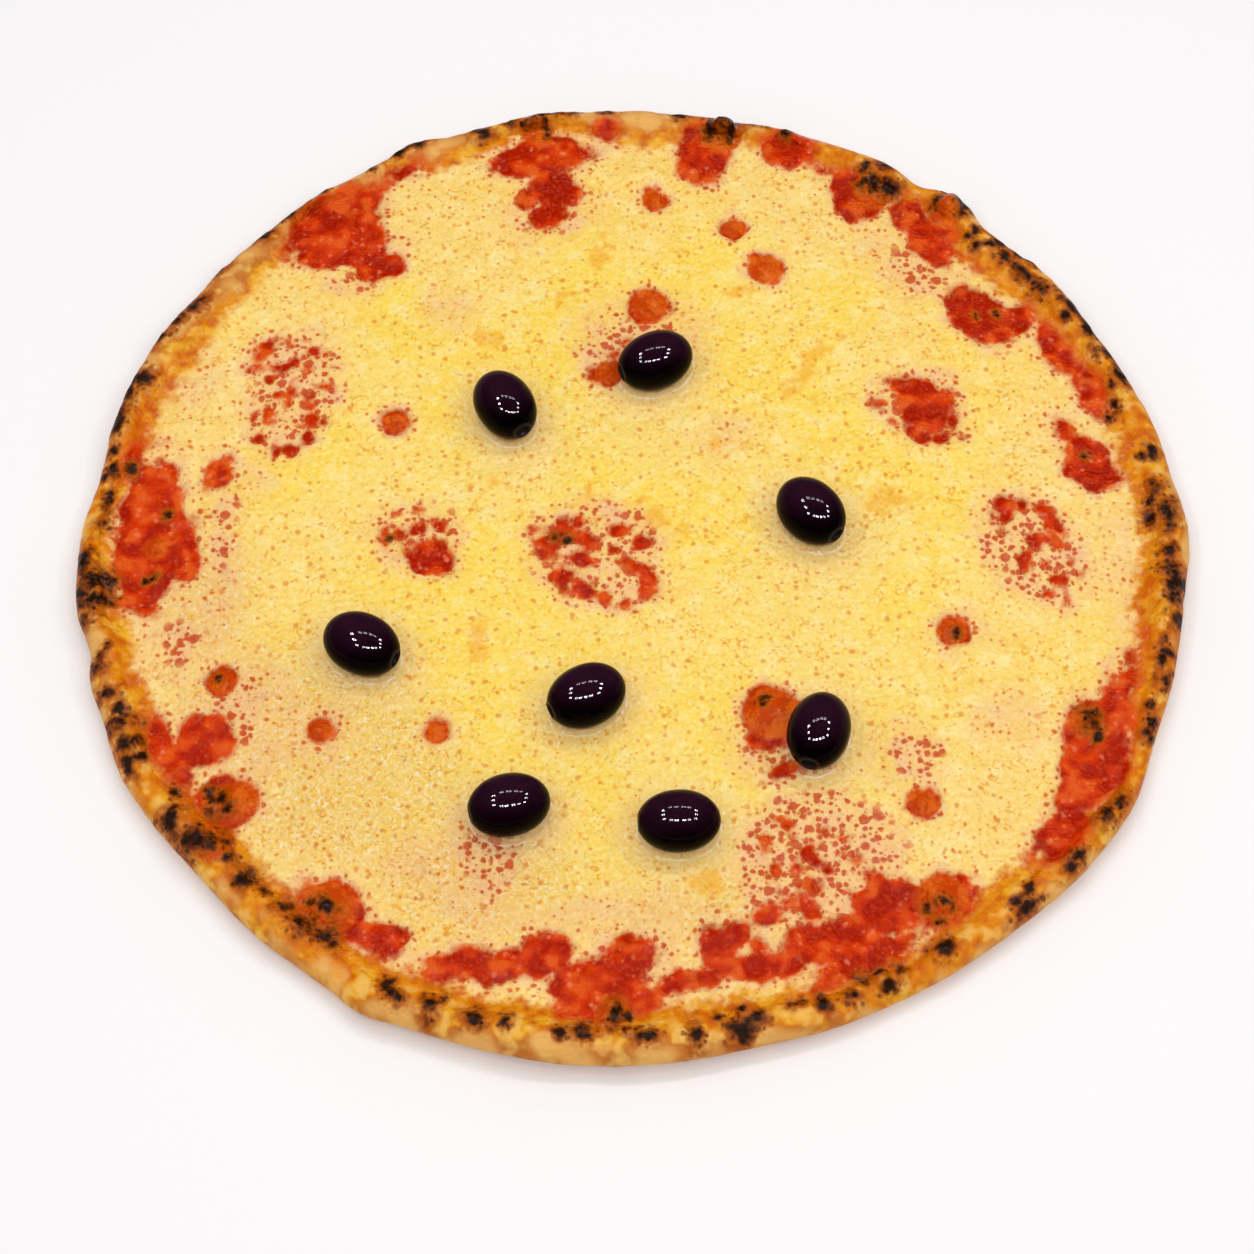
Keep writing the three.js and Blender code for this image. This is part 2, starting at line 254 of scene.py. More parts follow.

# %% [markdown]
# ## Where the tomato shows
# Melted cheese parts over the wettest sauce. Each bare patch is drawn as a few overlapping ovals,
# given near the rim by angle and radius, further in by x and y. An uneven field of noise
# then frays their edges. A boolean cut with ovals would leave hard walls, so instead the ovals
# become a depth in millimetres, positive in bare tomato, that lowers the cheese and raises the
# pulp smoothly.

# %% Bare tomato near the rim: angle, radius, half-length along the rim, half-breadth
EDGE_TOMATO = [
    (9, 138, 9.5, 7), (14, 135, 4, 2.5), (6.5, 143.5, 4, 3.5),
    (18.5, 147, 9, 3.8), (25.5, 145.5, 10, 3.6), (34.5, 133, 12.5, 8), (31, 141.5, 5, 5),
    (51.5, 147, 7, 5), (60, 147, 6, 5), (50, 146, 6, 5), (46, 143.5, 9, 2), (45.5, 138.5, 6, 2),
    (57.5, 143, 8, 8), (63, 148.5, 8, 1.2),
    (68.5, 152, 8, 7.5), (78, 143, 8.5, 9.5),
    (90, 150.5, 4, 3.5), (98.5, 144, 16, 8), (98.5, 132, 7, 7), (99, 124, 4, 4),
    (114.5, 153, 6.5, 2.8), (125.5, 148, 17.5, 9.5), (124.5, 137, 7, 7), (125.5, 126.5, 6, 4.5),
    (176, 139, 27, 10), (166, 149, 7, 2.5), (178.5, 128, 10, 4), (166, 122.5, 6, 4),
    (205.5, 144.5, 11, 3.8), (206, 134, 8, 9), (214.5, 138, 8, 7.5), (233.5, 140, 11.5, 6.5),
    (241, 140, 5, 5), (247.5, 143, 5, 2.5), (252.5, 137.5, 6.5, 4.8), (257.5, 135.5, 6, 2.6),
    (265, 137, 13, 8), (263, 144.5, 5, 4.5), (269.5, 142, 5, 4), (268, 126.5, 4, 4.5),
    (278.5, 131, 3.6, 8), (281.5, 127.5, 5, 4), (283.8, 132.5, 3, 5), (286.5, 123.5, 4, 3.5),
    (294.5, 145, 17, 5.2), (290, 135, 5, 6), (294.5, 138, 7, 4), (301.5, 134, 4.5, 8),
    (291.5, 125, 3, 5), (305.5, 142.5, 8.5, 7),
    (318.5, 149.5, 6, 2.3), (327.5, 150, 18, 6.8), (329, 156, 6, 2.5), (339, 148.5, 13, 2.8),
    (333, 141, 8, 4.5), (335, 149.5, 6, 4.5), (332, 152, 6, 3),
]

# %% Bare tomato further in: x, y, half-length, half-breadth and, where it has one, its turn
INNER_TOMATO = [
    # the large one in the middle
    (-22.5, 1, 3, 5.5), (-17.5, 4, 7, 3, -10), (-11, 1.5, 4.5, 3, -45), (-11, -4.5, 4, 2, -25),
    (-19.5, -9.5, 3, 2.2), (-18.2, -13, 1.6, 3.5, 10), (-11, -15.5, 5, 2.5, -25),
    (-6.5, -17.5, 3, 2.5), (-9, -13, 1.3, 2.5), (-1, -19.3, 2.2, 1.6), (1.5, -8, 3.8, 2, -15),
    (6, -11.5, 2.6, 4.5, 10), (6, -16, 2.5, 2), (-7.5, 8.8, 3, 1.2, 15), (-18, 8.2, 1.6, 1.2),
    (-13.3, 7.8, 0.9, 1), (-1.7, 4.4, 2.4, 2), (4.6, 0.6, 2.7, 2.5), (-3.2, -1.5, 1.4, 0.9),
    # left of the middle
    (-57, -2, 7.2, 6.2, -20), (-62, -0.5, 4, 2.5, -30), (-69.8, 6, 2.2, 4.3), (-66.5, 7, 1.8, 2),
    (-66.3, 13.3, 1.8, 1.2, 20), (-60.8, 13.8, 1.8, 1.5), (-60.5, 7.5, 2, 2.2),
    (-53, 8.5, 2, 1.8, -20), (-55.2, 11.3, 1, 0.7),
    # upper left
    (-100.8, 67.3, 2.8, 1.8), (-97, 68, 1.2, 2, 20), (-93.8, 65.5, 1.8, 2.6),
    (-91, 71, 2.6, 1.8), (-88.6, 71, 1.4, 1, -10), (-99.5, 76.5, 1.1, 0.8),
    (-99.4, 74.3, 1.1, 0.9), (-95.7, 76.7, 1.2, 1), (-107, 71.8, 2.3, 1, 35),
    (-106, 75.5, 2, 0.7, 25), (-109.4, 66.9, 1.4, 0.9), (-86.3, 66, 1.6, 1),
    (-88.8, 65, 0.9, 1.6), (-88, 59, 2.8, 1.8, -30), (-86, 57, 1, 1.8, 20), (-98.6, 57.5, 1.3, 2.4, 10),
    (-97, 62.5, 2.2, 0.7, 35), (-97, 56, 1.6, 0.7), (-93, 55.8, 1.5, 1.2),
    (-93, 52.8, 1.6, 1.2), (-98.8, 53, 1.6, 1.3), (-102.8, 57.2, 1.5, 1.5),
    (-107.8, 58.3, 1.1, 0.9), (-104.7, 62, 1, 1.1), (-104.5, 47.3, 2.8, 1.5),
    (-104.6, 50, 0.9, 1.6), (-92.2, 47.2, 1.2, 1.5), (-88.7, 46.8, 1, 1),
    (-93.4, 41.2, 1.6, 1.8), (-98.4, 37, 1.5, 1.6), (-102.6, 36.2, 0.8, 1.4),
    (-107.7, 42, 1.4, 1.2), (-109.5, 48.5, 0.8, 1.6, -20), (-95.6, 45.2, 1.1, 0.6),
    # right
    (111, 8, 3, 2.5), (111, 4.5, 1.8, 2.5), (106.8, 4.5, 1.1, 2, -10), (116.3, 8.2, 1.6, 2, -20),
    (121.5, 6.5, 3, 1.5, -45), (123.3, 2, 1.8, 2.6), (126, 0, 1.2, 2.6, 35), (109, -2, 1.7, 2.6, 10),
    (118.2, -3.6, 2.6, 2.5), (119.2, -7, 1.1, 2.2), (125.3, -6, 1.2, 4.5, 35),
    (122.5, -4, 2, 0.8, -10), (128, -11.5, 0.9, 2.2), (109, -7, 1, 1), (116, -9, 1.2, 1.2),
    (114.5, -12.7, 1.5, 2.5, 15), (120.8, -12, 1.1, 1.3), (122.5, -17.3, 1, 1.5),
    (125.8, -17, 1.6, 1.5), (130, -17, 0.9, 1.8), (126, -22.3, 1, 2), (121.5, -22, 1.2, 0.8),
    # upper right
    (89, 46, 8.5, 7.5, -50), (98.5, 38, 2.2, 4), (94.3, 32, 2.3, 2.2), (89.5, 33, 2, 2.2),
    (86.3, 36, 2, 2.5), (85, 50.5, 4, 4), (97, 46, 3, 4, 20), (77.8, 45.3, 1.7, 1),
    (79, 42.5, 1.1, 0.8), (80.5, 39, 0.8, 1.3), (80, 53.6, 1, 0.7), (101, 32.2, 1, 0.7),
    # lower right
    (46.8, -100, 2, 2.3), (48.5, -103, 1.5, 2, 20), (51.3, -105.8, 2, 1.4, -40),
    (43, -106, 1.8, 2.2), (56.8, -99.5, 1, 2), (59.8, -102.5, 1.3, 2), (62, -108.5, 1.5, 2),
    (66, -111.5, 5, 1.8, -12), (71, -113, 4, 2.5), (37.5, -106, 0.9, 1.5),
    (35.3, -109.5, 0.9, 1.7), (37.5, -112.2, 1.6, 1.2), (39.7, -116.5, 1.2, 1.8),
    (46, -110.5, 3, 2, 40), (47.3, -113.5, 1.2, 2.5), (44, -113.5, 1.3, 2),
    (33.5, -119, 3, 3.5), (34, -115.5, 1, 2), (57.3, -112.5, 1.1, 0.8),
    (42.6, -95.8, 1.2, 1), (41.6, -91.8, 1, 0.9), (40, -89.8, 1.3, 0.6),
    (34.8, -97.8, 0.9, 1.8), (52, -94.2, 1.4, 0.8), (56.2, -96.4, 1, 0.6),
    # wide patches near the rim that ovals along it leave open
    (-84, 110, 15, 7), (-70, 103, 5, 5), (52, -128, 16, 7, 10), (67, -119, 10, 8, -20),
    (34, -134, 14, 4.5), (22, -128, 4.5, 6), (-52, -130, 9, 3.5, -10), (-33, -130, 9, 5),
    (-72, -121, 8, 5.5, -25), (127, -78, 8, 14, -20), (118, -97, 5.5, 11, -30), (134, -56, 3, 9, -20),
    (98, 104, 7, 7), (90, 43, 9.5, 7.5, -50), (29, 138, 8, 9), (30, 147, 6, 6),
    (-26, -127, 8, 6), (-45, -129, 8, 4.5), (14, -137, 10, 3.5, 10), (-3, -128, 9, 5),
    (-20, 120, 6, 5), (-14, 127, 4, 4), (-26, 126, 4, 4),
    # beside two of the olives
    (36, -66, 4, 3.2), (41, -64, 3, 4), (47, -55, 4, 1.5), (41.5, -75.5, 3, 2, 15),
    (8.5, 82, 2.6, 4, -15), (15.8, 83.3, 1.5, 2.6, 20), (-3.5, 66.5, 2.5, 1, -15), (3, 71.5, 1.5, 1.2),
    (-4, 59, 4.5, 3, -25),
]

# %% Blisters of sauce: x, y, half-width, height of the top
SAUCE_BLISTERS = [
    (-111, -78, 7, 9.4), (-85, -112, 8.5, 9.8), (-116, -40, 4.5, 8.6), (-88, -57, 4, 8.4),
    (-55, -59, 3.5, 8.2), (-67, 46, 4, 8.2), (-137, 5, 4, 8.6), (-3, 60, 4.5, 8.4), (10, 84, 6, 8.4),
    (46, 96, 5.5, 8.6), (37, 112, 3.5, 8.2), (13, 124, 4, 8.2), (92, -33, 4.5, 8.6), (39, -57, 8.5, 9.2),
    (79, -87, 4.5, 8.4), (82, -116, 7.5, 9.2), (-8, -144, 4.5, 10.2), (127, -64, 5, 9.8),
]

# %% Fields: noise, ovals and the depth into bare tomato
LATTICE = 97


def lumps(x, y, size, seed):
    """Smooth uneven field between 0 and 1 with lumps about size across."""
    lattice = np.random.default_rng(seed).random((LATTICE, LATTICE))
    u = x / size + 500.0
    v = y / size + 500.0
    column = np.floor(u).astype(int)
    row = np.floor(v).astype(int)
    fu = u - column
    fv = v - row
    fu = fu * fu * (3 - 2 * fu)
    fv = fv * fv * (3 - 2 * fv)

    def corner(i, j):
        return lattice[(column + i) % LATTICE, (row + j) % LATTICE]

    low = corner(0, 0) * (1 - fu) + corner(1, 0) * fu
    high = corner(0, 1) * (1 - fu) + corner(1, 1) * fu
    return low * (1 - fv) + high * fv


def on_ring(angle, radius):
    """x and y of a place given by angle and radius."""
    return radius * cos(radians(angle)), radius * sin(radians(angle))


def depth_in(x, y, ovals):
    """How deep each place lies inside the nearest oval, negative outside."""
    depth = np.full(np.shape(x), -30.0)
    for middle_x, middle_y, half_long, half_wide, *turned in ovals:
        turn = turned[0] if turned else 0
        dx = x - middle_x
        dy = y - middle_y
        reach = max(half_long, half_wide) + 14
        near = (np.abs(dx) < reach) & (np.abs(dy) < reach)
        c = cos(radians(turn))
        s = sin(radians(turn))
        u = (dx[near] * c + dy[near] * s) / half_long
        v = (dy[near] * c - dx[near] * s) / half_wide
        share = np.hypot(u, v)
        inside = (1 - share) * min(half_long, half_wide)
        depth[near] = np.maximum(depth[near], inside)
    return depth


TOMATO_OVALS = [(*on_ring(angle, radius), along, across, angle + 90)
                for angle, radius, along, across in EDGE_TOMATO]
TOMATO_OVALS += INNER_TOMATO
TOMATO_OVALS += [(x, y, half, half) for x, y, half, _ in SAUCE_BLISTERS]


def tomato_depth(x, y):
    """Depth in mm into bare tomato, frayed by noise."""
    fray = 2.6 * (lumps(x, y, 4.6, 1) - 0.5) + 1.0 * (lumps(x, y, 2, 2) - 0.5)
    return depth_in(x, y, TOMATO_OVALS) + fray


print(len(TOMATO_OVALS), "ovals of bare tomato")

# %% [markdown]
# ## Helpers for meshes
# A layer of melted food is a sheet: wide, thin and uneven on top. A grid primitive gives its
# faces, the ones outside its outline are deleted, its edge is extruded down and filled, and its
# points are then raised by the fields above, which is sculpting by rule. Scraps and pinched
# corners are cleared from the grid first, because the fill needs a clean edge.

# %% Mesh helpers
def places(obj):
    """The points of a mesh as an array."""
    flat = np.empty(len(obj.data.vertices) * 3)
    obj.data.vertices.foreach_get("co", flat)
    return flat.reshape(-1, 3)


def set_places(obj, points):
    obj.data.vertices.foreach_set("co", np.ascontiguousarray(points, dtype=float).ravel())
    obj.data.update()


def paint(obj, name, values):
    """Stores one number per point for the materials."""
    layer = obj.data.attributes.new(name, "FLOAT", "POINT")
    layer.data.foreach_set("value", np.ascontiguousarray(values, dtype=np.float32))


def polar_of(points):
    """Angle in degrees and radius of each point."""
    angle = np.degrees(np.arctan2(points[:, 1], points[:, 0])) % 360
    return angle, np.hypot(points[:, 0], points[:, 1])


def finish_piece(obj, name, node):
    """Metres instead of millimetres, the pizza's own place, smooth shading, the root body as parent and
    the solid hidden.
    """
    obj.data.transform(Matrix.Translation((SHIFT_X, SHIFT_Y, 0)) @ Matrix.Scale(MM, 4))
    obj.name = name
    bpy.ops.object.select_all(action="DESELECT")
    obj.select_set(True)
    bpy.context.view_layer.objects.active = obj
    bpy.ops.object.shade_smooth()
    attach(obj, "root")
    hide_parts(node)
    print(name, len(obj.data.vertices), "points", len(obj.data.polygons), "faces")


def edit(obj, mode="VERT"):
    bpy.context.view_layer.objects.active = obj
    obj.select_set(True)
    bpy.ops.object.mode_set(mode="EDIT")
    bpy.ops.mesh.select_mode(type=mode)


def object_mode():
    bpy.ops.object.mode_set(mode="OBJECT")


# %% Sheets of food
SHEET_HALF = 156
CRUMB_STEPS = 60


def without_corner_touches(kept):
    """Adds a cell wherever two kept cells meet only at a corner, so that no edge is pinched."""
    while True:
        rising = kept[:-1, :-1] & kept[1:, 1:] & ~kept[1:, :-1] & ~kept[:-1, 1:]
        falling = kept[1:, :-1] & kept[:-1, 1:] & ~kept[:-1, :-1] & ~kept[1:, 1:]
        if not (rising | falling).any():
            return kept
        kept[1:, :-1] |= rising
        kept[:-1, :-1] |= falling


def spread(mask):
    """The mask grown by one cell on four sides."""
    wide = mask.copy()
    wide[1:] |= mask[:-1]
    wide[:-1] |= mask[1:]
    wide[:, 1:] |= mask[:, :-1]
    wide[:, :-1] |= mask[:, 1:]
    return wide


def without_crumbs(kept):
    """Drops scraps only a few cells wide: what is left has grown back from solid middles."""
    grown = ~spread(spread(~kept))
    for _ in range(CRUMB_STEPS):
        grown = spread(grown) & kept
    return grown


def sheet_of_food(cell, keep, bottom):
    """Closed sheet: a grid of square cells where keep(x, y) holds, with walls down to a flat bottom.
    Returns the object and how many of its points, the first ones, are on the top."""
    half = SHEET_HALF
    count = round(2 * half / cell)
    bpy.ops.object.select_all(action="DESELECT")
    bpy.ops.mesh.primitive_grid_add(x_subdivisions=count, y_subdivisions=count, size=2 * half)
    obj = bpy.context.object
    centres = np.empty(len(obj.data.polygons) * 3)
    obj.data.polygons.foreach_get("center", centres)
    centres = centres.reshape(-1, 3)
    column, row = np.floor((centres[:, :2].T / (2 * half) + 0.5) * count).astype(int)
    kept = np.zeros((count, count), dtype=bool)
    kept[column, row] = keep(centres[:, 0], centres[:, 1])
    drop = ~without_corner_touches(without_crumbs(kept))[column, row]
    edit(obj, "FACE")
    bpy.ops.mesh.select_all(action="DESELECT")
    object_mode()
    obj.data.polygons.foreach_set("select", drop)
    bpy.ops.object.mode_set(mode="EDIT")
    bpy.ops.mesh.delete(type="FACE")
    bpy.ops.mesh.select_mode(type="EDGE")
    bpy.ops.mesh.select_all(action="DESELECT")
    bpy.ops.mesh.select_non_manifold()
    object_mode()
    top_count = len(obj.data.vertices)
    bpy.ops.object.mode_set(mode="EDIT")
    bpy.ops.mesh.extrude_edges_move(TRANSFORM_OT_translate={"value": (0, 0, -bottom)})
    bpy.ops.mesh.fill(use_beauty=True)
    bpy.ops.mesh.select_all(action="SELECT")
    bpy.ops.mesh.normals_make_consistent(inside=False)
    object_mode()
    return obj, top_count


# %% [markdown]
# ## Crust
# The crust is a thin disc whose edge puffed up in the oven. Its section is the same all round, so
# one profile is spun about the middle: first into a narrow sector, then the sector into a ring,
# because one spin of 900 steps is slow. The ring is then pushed to the wandering outline, and
# bubbles, creases and char blisters are raised out of it.

# %% Crust profile and spin
RIM_PROFILE = [
    (146, 0), (151, 0.15), (155.2, 0.7), (158.6, 2.1), (160, 4.2), (159.5, 6.3), (157.6, 8.3),
    (154.3, 9.2), (151.4, 8.4), (149.2, 6.6), (147.4, 4.6), (145.4, 3.6),
]
SECTORS = 30
SECTOR_STEPS = 30
RIM_SPACING = 0.85
UNDER_SPACING = 8


def dense_profile():
    """The rim's profile as evenly spaced points on a smooth curve through its corners."""
    corners = np.array(RIM_PROFILE, dtype=float)
    before = np.vstack([2 * corners[:1] - corners[1:2], corners, 2 * corners[-1:] - corners[-2:-1]])
    fine = []
    for i in range(1, len(before) - 2):
        a, b, c, d = before[i - 1:i + 3]
        for t in np.linspace(0, 1, 12, endpoint=False):
            fine.append(0.5 * (2 * b + (c - a) * t + (2 * a - 5 * b + 4 * c - d) * t ** 2
                               + (3 * b - a - 3 * c + d) * t ** 3))
    fine = np.array(fine + [corners[-1]])
    length = np.concatenate([[0], np.cumsum(np.hypot(*np.diff(fine, axis=0).T))])
    marks = np.linspace(0, length[-1], round(length[-1] / RIM_SPACING))
    rim = np.column_stack([np.interp(marks, length, fine[:, 0]), np.interp(marks, length, fine[:, 1])])
    under = [(radius, 0) for radius in np.arange(0, 145, UNDER_SPACING)]
    floor_rings = [(radius, DOUGH_TOP) for radius in (135, 90, 45, 0)]
    return np.vstack([under, np.maximum(rim, 0), floor_rings])


def spun_ring():
    profile = dense_profile()
    mesh = bpy.data.meshes.new("crust")
    mesh.from_pydata([(radius, 0, height) for radius, height in profile],
                     [(i, i + 1) for i in range(len(profile) - 1)], [])
    obj = bpy.data.objects.new("crust", mesh)
    scene.collection.objects.link(obj)
    bpy.ops.object.select_all(action="DESELECT")
    edit(obj)
    bpy.ops.mesh.select_all(action="SELECT")
    sector = 2 * pi / SECTORS
    bpy.ops.mesh.spin(steps=SECTOR_STEPS, angle=sector, center=(0, 0, 0), axis=(0, 0, 1))
    bpy.ops.mesh.select_all(action="SELECT")
    bpy.ops.mesh.spin(steps=SECTORS - 1, angle=2 * pi - sector, dupli=True, center=(0, 0, 0),
                      axis=(0, 0, 1))
    bpy.ops.mesh.select_all(action="SELECT")
    bpy.ops.mesh.remove_doubles(threshold=0.01)
    bpy.ops.mesh.normals_make_consistent(inside=False)
    object_mode()
    return obj


crust = spun_ring()
print("spun crust", len(crust.data.vertices), "points")

# %% Blisters and chars of the rim
# Dough blisters: angle, radius, half-width, height of the top
DOUGH_BLISTERS = [
    (48, 155.5, 5.8, 13.4), (56.5, 149, 5.8, 13.4), (76.5, 153.5, 6.2, 12.8), (98.5, 156, 5, 11),
    (184, 152.5, 5, 10.8), (203, 151.5, 4.5, 10.6), (218, 149.5, 6, 10.8), (233, 146, 5.5, 10.6),
    (280.5, 150.5, 7, 11), (294.5, 153, 5.5, 10.8), (352, 155, 4.5, 10.4),
]
ORANGE_BLISTERS = (48, 56.5, 76.5, 98.5, 218, 233)
# Chars: angle, radius, half-length along the rim, half-breadth
CHARS = [
    (0.5, 153, 2.5, 2), (1, 157.5, 5, 2.3), (3.8, 156, 3, 2), (2.5, 153.5, 1.2, 1), (8.7, 157.5, 2, 1.5),
    (8.4, 154, 1, 0.8), (14.3, 149.5, 1.2, 1.2), (15.5, 152.5, 1.5, 1), (19, 158, 4, 1.5),
    (18, 154, 1.5, 1), (22, 157.5, 2.5, 1.2), (22.3, 154.5, 2, 1), (27.5, 158.5, 9, 2),
    (25.5, 157, 2, 1.5), (28, 153.5, 1.5, 1), (29.5, 156.5, 2.5, 1.5), (32.8, 153, 3, 1.8),
    (35.3, 152.5, 2.5, 1.5), (37, 153, 1.5, 1.2), (38.8, 153.5, 2.5, 2), (38, 158, 5, 1.5),
    (40.5, 157, 3.5, 2), (42.5, 157.5, 2, 1.5), (41, 153, 1.5, 1.2), (42.2, 149.5, 1.2, 1),
    (43.7, 153.8, 1.2, 1), (43.8, 150.5, 1, 0.8), (47, 158.5, 2.5, 2), (48.5, 159.5, 3, 1.5),
    (46.3, 155.5, 1.3, 1), (49.5, 155, 1, 2), (57, 157, 2.5, 1.5), (59, 154, 1.5, 1.5),
    (55.2, 151.5, 3, 2.5), (57.3, 150.5, 2.5, 2.5), (58.5, 149.5, 1.5, 2),
    (69.3, 158.5, 1, 2), (73, 160, 4, 1.2), (76.5, 156.5, 4.5, 4), (75.5, 152, 1.2, 2),
    (78, 153.5, 1.5, 3), (81.8, 158, 2.5, 2.2), (90.3, 159.5, 1.8, 1.8), (94, 159, 1.5, 1.5),
    (97, 160.5, 5, 1.6), (101, 160, 2.5, 2), (97.3, 156.5, 1, 2), (99, 157.5, 2.5, 0.9),
    (97.5, 152.3, 0.8, 0.8), (104.7, 157.5, 3, 2.2), (112.3, 160.5, 3.5, 1.6), (114.7, 160, 2, 1.3),
    (118.2, 158.5, 0.8, 1.2), (125, 159, 5, 1), (129, 158, 3, 1.2), (132.8, 158, 3, 1.8),
    (139.5, 159.5, 3.5, 1.5), (145, 156, 4, 2), (148, 157.5, 5, 1.3), (150.5, 158.5, 3, 1),
    (156, 156, 2.5, 2.5), (157.5, 158.5, 6, 1.2), (161.5, 157.5, 7, 2), (166, 155.5, 2, 1.3),
    (169, 155.5, 1.5, 1.5), (168.5, 153.5, 2.5, 0.8), (172, 153, 3.5, 1.2), (175, 153, 1.2, 2),
    (180, 157.5, 4.5, 2.3), (182.5, 154, 3.5, 4), (182.8, 149.5, 2.5, 1.2), (185, 153, 2.5, 4),
    (184, 157.5, 4, 2), (187, 156.5, 2, 2), (191, 151.5, 0.8, 0.8), (192.3, 154, 1.5, 1),
    (193.2, 155.5, 1.5, 2), (196.5, 154, 1.5, 2.5), (198.5, 152, 1.5, 1.8), (199.8, 154.5, 1, 3),
    (200.5, 153, 2.5, 3.5), (203, 154.5, 3.5, 2.5), (205, 156, 4, 1.3), (203.2, 151, 2, 1.2),
    (205, 151.5, 1, 1), (210.5, 148.5, 1.8, 1.2), (212.8, 153.5, 1.8, 3.5), (214, 155, 2.5, 1.2),
    (216.8, 152, 3, 4.5), (218, 149, 2.5, 3.5), (219, 146, 1.2, 1), (220.8, 147.5, 1.2, 1.5),
    (223.7, 148.5, 3, 2.5), (226, 147.5, 1.5, 1), (229, 148, 1.8, 2), (231.8, 148.5, 3.5, 2.5),
    (234.5, 147.5, 2, 2), (236, 148, 1, 1.5), (243.2, 152.5, 1.5, 2.5), (244.5, 154.5, 2.5, 1.5),
    (248.3, 153.5, 2, 3.5), (249.2, 150, 1.2, 0.8), (252.8, 153.5, 3, 2), (256, 152.5, 1.2, 2),
    (261.5, 153.5, 1.5, 1.2), (264, 152.5, 2.5, 2), (268, 151.5, 0.8, 1), (270, 153.5, 3, 1.8),
    (275, 154.5, 2, 2.5), (277.5, 149.5, 0.8, 1), (279.5, 155, 3, 3), (281.5, 153, 1.8, 1.5),
    (280, 149, 0.8, 1), (285, 151, 1, 1), (286, 151, 1, 0.8), (288.2, 153.5, 1.2, 2),
    (291, 154.5, 1.8, 1.8), (292.8, 151, 1, 1.8), (295, 156, 2.5, 1), (294.7, 151.5, 1.5, 1),
    (296.7, 153, 1.2, 1.8), (301.8, 154, 3, 2), (311, 159.5, 4, 1.2), (311, 156.5, 2, 1),
    (312.8, 155.8, 1.5, 1), (318, 160, 4, 1.3), (323.8, 159.5, 2.5, 2), (326.2, 160.5, 3, 1.2),
    (334.5, 159.5, 2, 1.5), (336, 159, 1.2, 1.2), (337.5, 157.5, 2, 1), (341, 159.5, 2.5, 1),
    (340.5, 156.5, 1, 0.8), (342.8, 157, 2, 1), (344, 158.5, 1, 2.5), (345.3, 157, 1.2, 0.8),
    (348, 159.5, 2.5, 2), (350.5, 158.5, 2, 2), (352.5, 159, 3, 2.5), (354, 157, 1.5, 3),
    (351.8, 156.5, 1.5, 1.2), (356.2, 156.5, 2, 1.8),
]
# Chars on blisters of sauce, in the same terms
SAUCE_CHARS = [
    (212.5, 140.5, 1.5, 1), (214, 139, 2, 2), (215.5, 138.5, 1, 1.5), (214.5, 143, 1.5, 0.8),
    (232.5, 140.5, 3, 2), (231, 142, 1.2, 1), (267, 147, 1.5, 3.5), (268.2, 147, 0.8, 1.2),
    (303.5, 147, 1.2, 0.9), (303, 142, 0.8, 1.2), (305, 142.8, 0.8, 1), (305.5, 145.5, 0.7, 1),
    (332, 146.5, 1.5, 0.8), (333.2, 144, 2, 2), (334.5, 142, 1.2, 2.5), (182.5, 139.5, 0.7, 0.7),
    (182, 137, 1, 0.9), (167.7, 148.7, 1.8, 1.5), (304, 65.5, 0.9, 0.9), (305.3, 64.5, 1.2, 1),
    (340, 99, 1, 0.8), (172, 17.4, 1.1, 1), (169.5, 20.8, 0.9, 1), (176, 68.5, 0.7, 1),
    (33.5, 138, 1.2, 0.6), (35, 132.5, 0.7, 0.6), (10, 138.5, 0.9, 0.7), (198.5, 123.5, 0.9, 0.6),
    (173, 135, 1.2, 0.8),
]


def dome(x, y, middle_x, middle_y, half_width):
    """Height, from 0 at its edge to 1 at its top, of a round blister."""
    share = np.hypot(x - middle_x, y - middle_y) / half_width
    return np.clip(1 - share ** 2, 0, 1) ** 0.6


def char_field(x, y, chars):
    """Burnt places: about 1 in the middle of a char, fading to 0 a little outside it."""
    burnt = np.zeros(np.shape(x))
    for angle, radius, along, across in chars:
        middle_x, middle_y = on_ring(angle, radius)
        dx = x - middle_x
        dy = y - middle_y
        near = (np.abs(dx) < 16) & (np.abs(dy) < 16)
        c = cos(radians(angle))
        s = sin(radians(angle))
        out = (dx[near] * c + dy[near] * s) / (across + 0.5)
        round_ = (dy[near] * c - dx[near] * s) / (along + 0.5)
        burnt[near] = np.maximum(burnt[near], 1.15 * np.exp(-0.75 * (out ** 2 + round_ ** 2)))
    return burnt


# %% [markdown]
# ## What the finishes will need to know
# Baked food takes its colour from where it lies: pink where sauce shines through, amber where oil
# ran, pale where the cheese is thin and wet, black where it caught. Image textures could carry
# that, but they would tie the colours to one unwrapping. So every point keeps a few painted
# numbers, such as its depth into bare tomato, and the finishes read them later.

# %% Olives: x, y and the heading of the stem end
OLIVES = [
    (-34, 45.2, -62), (11.3, 58.7, -158), (54, 4.3, -52), (-75.8, -34.1, -30), (-12.4, -53.3, -155),
    (51.6, -66.8, -108), (-34.5, -86.4, -168), (11.6, -93.3, 180),
]
OLIVE_HALF_LENGTH = 11.75
OLIVE_HALF_WIDTH = 8.75
print(len(OLIVES), "olives", 2 * OLIVE_HALF_LENGTH, "mm long")

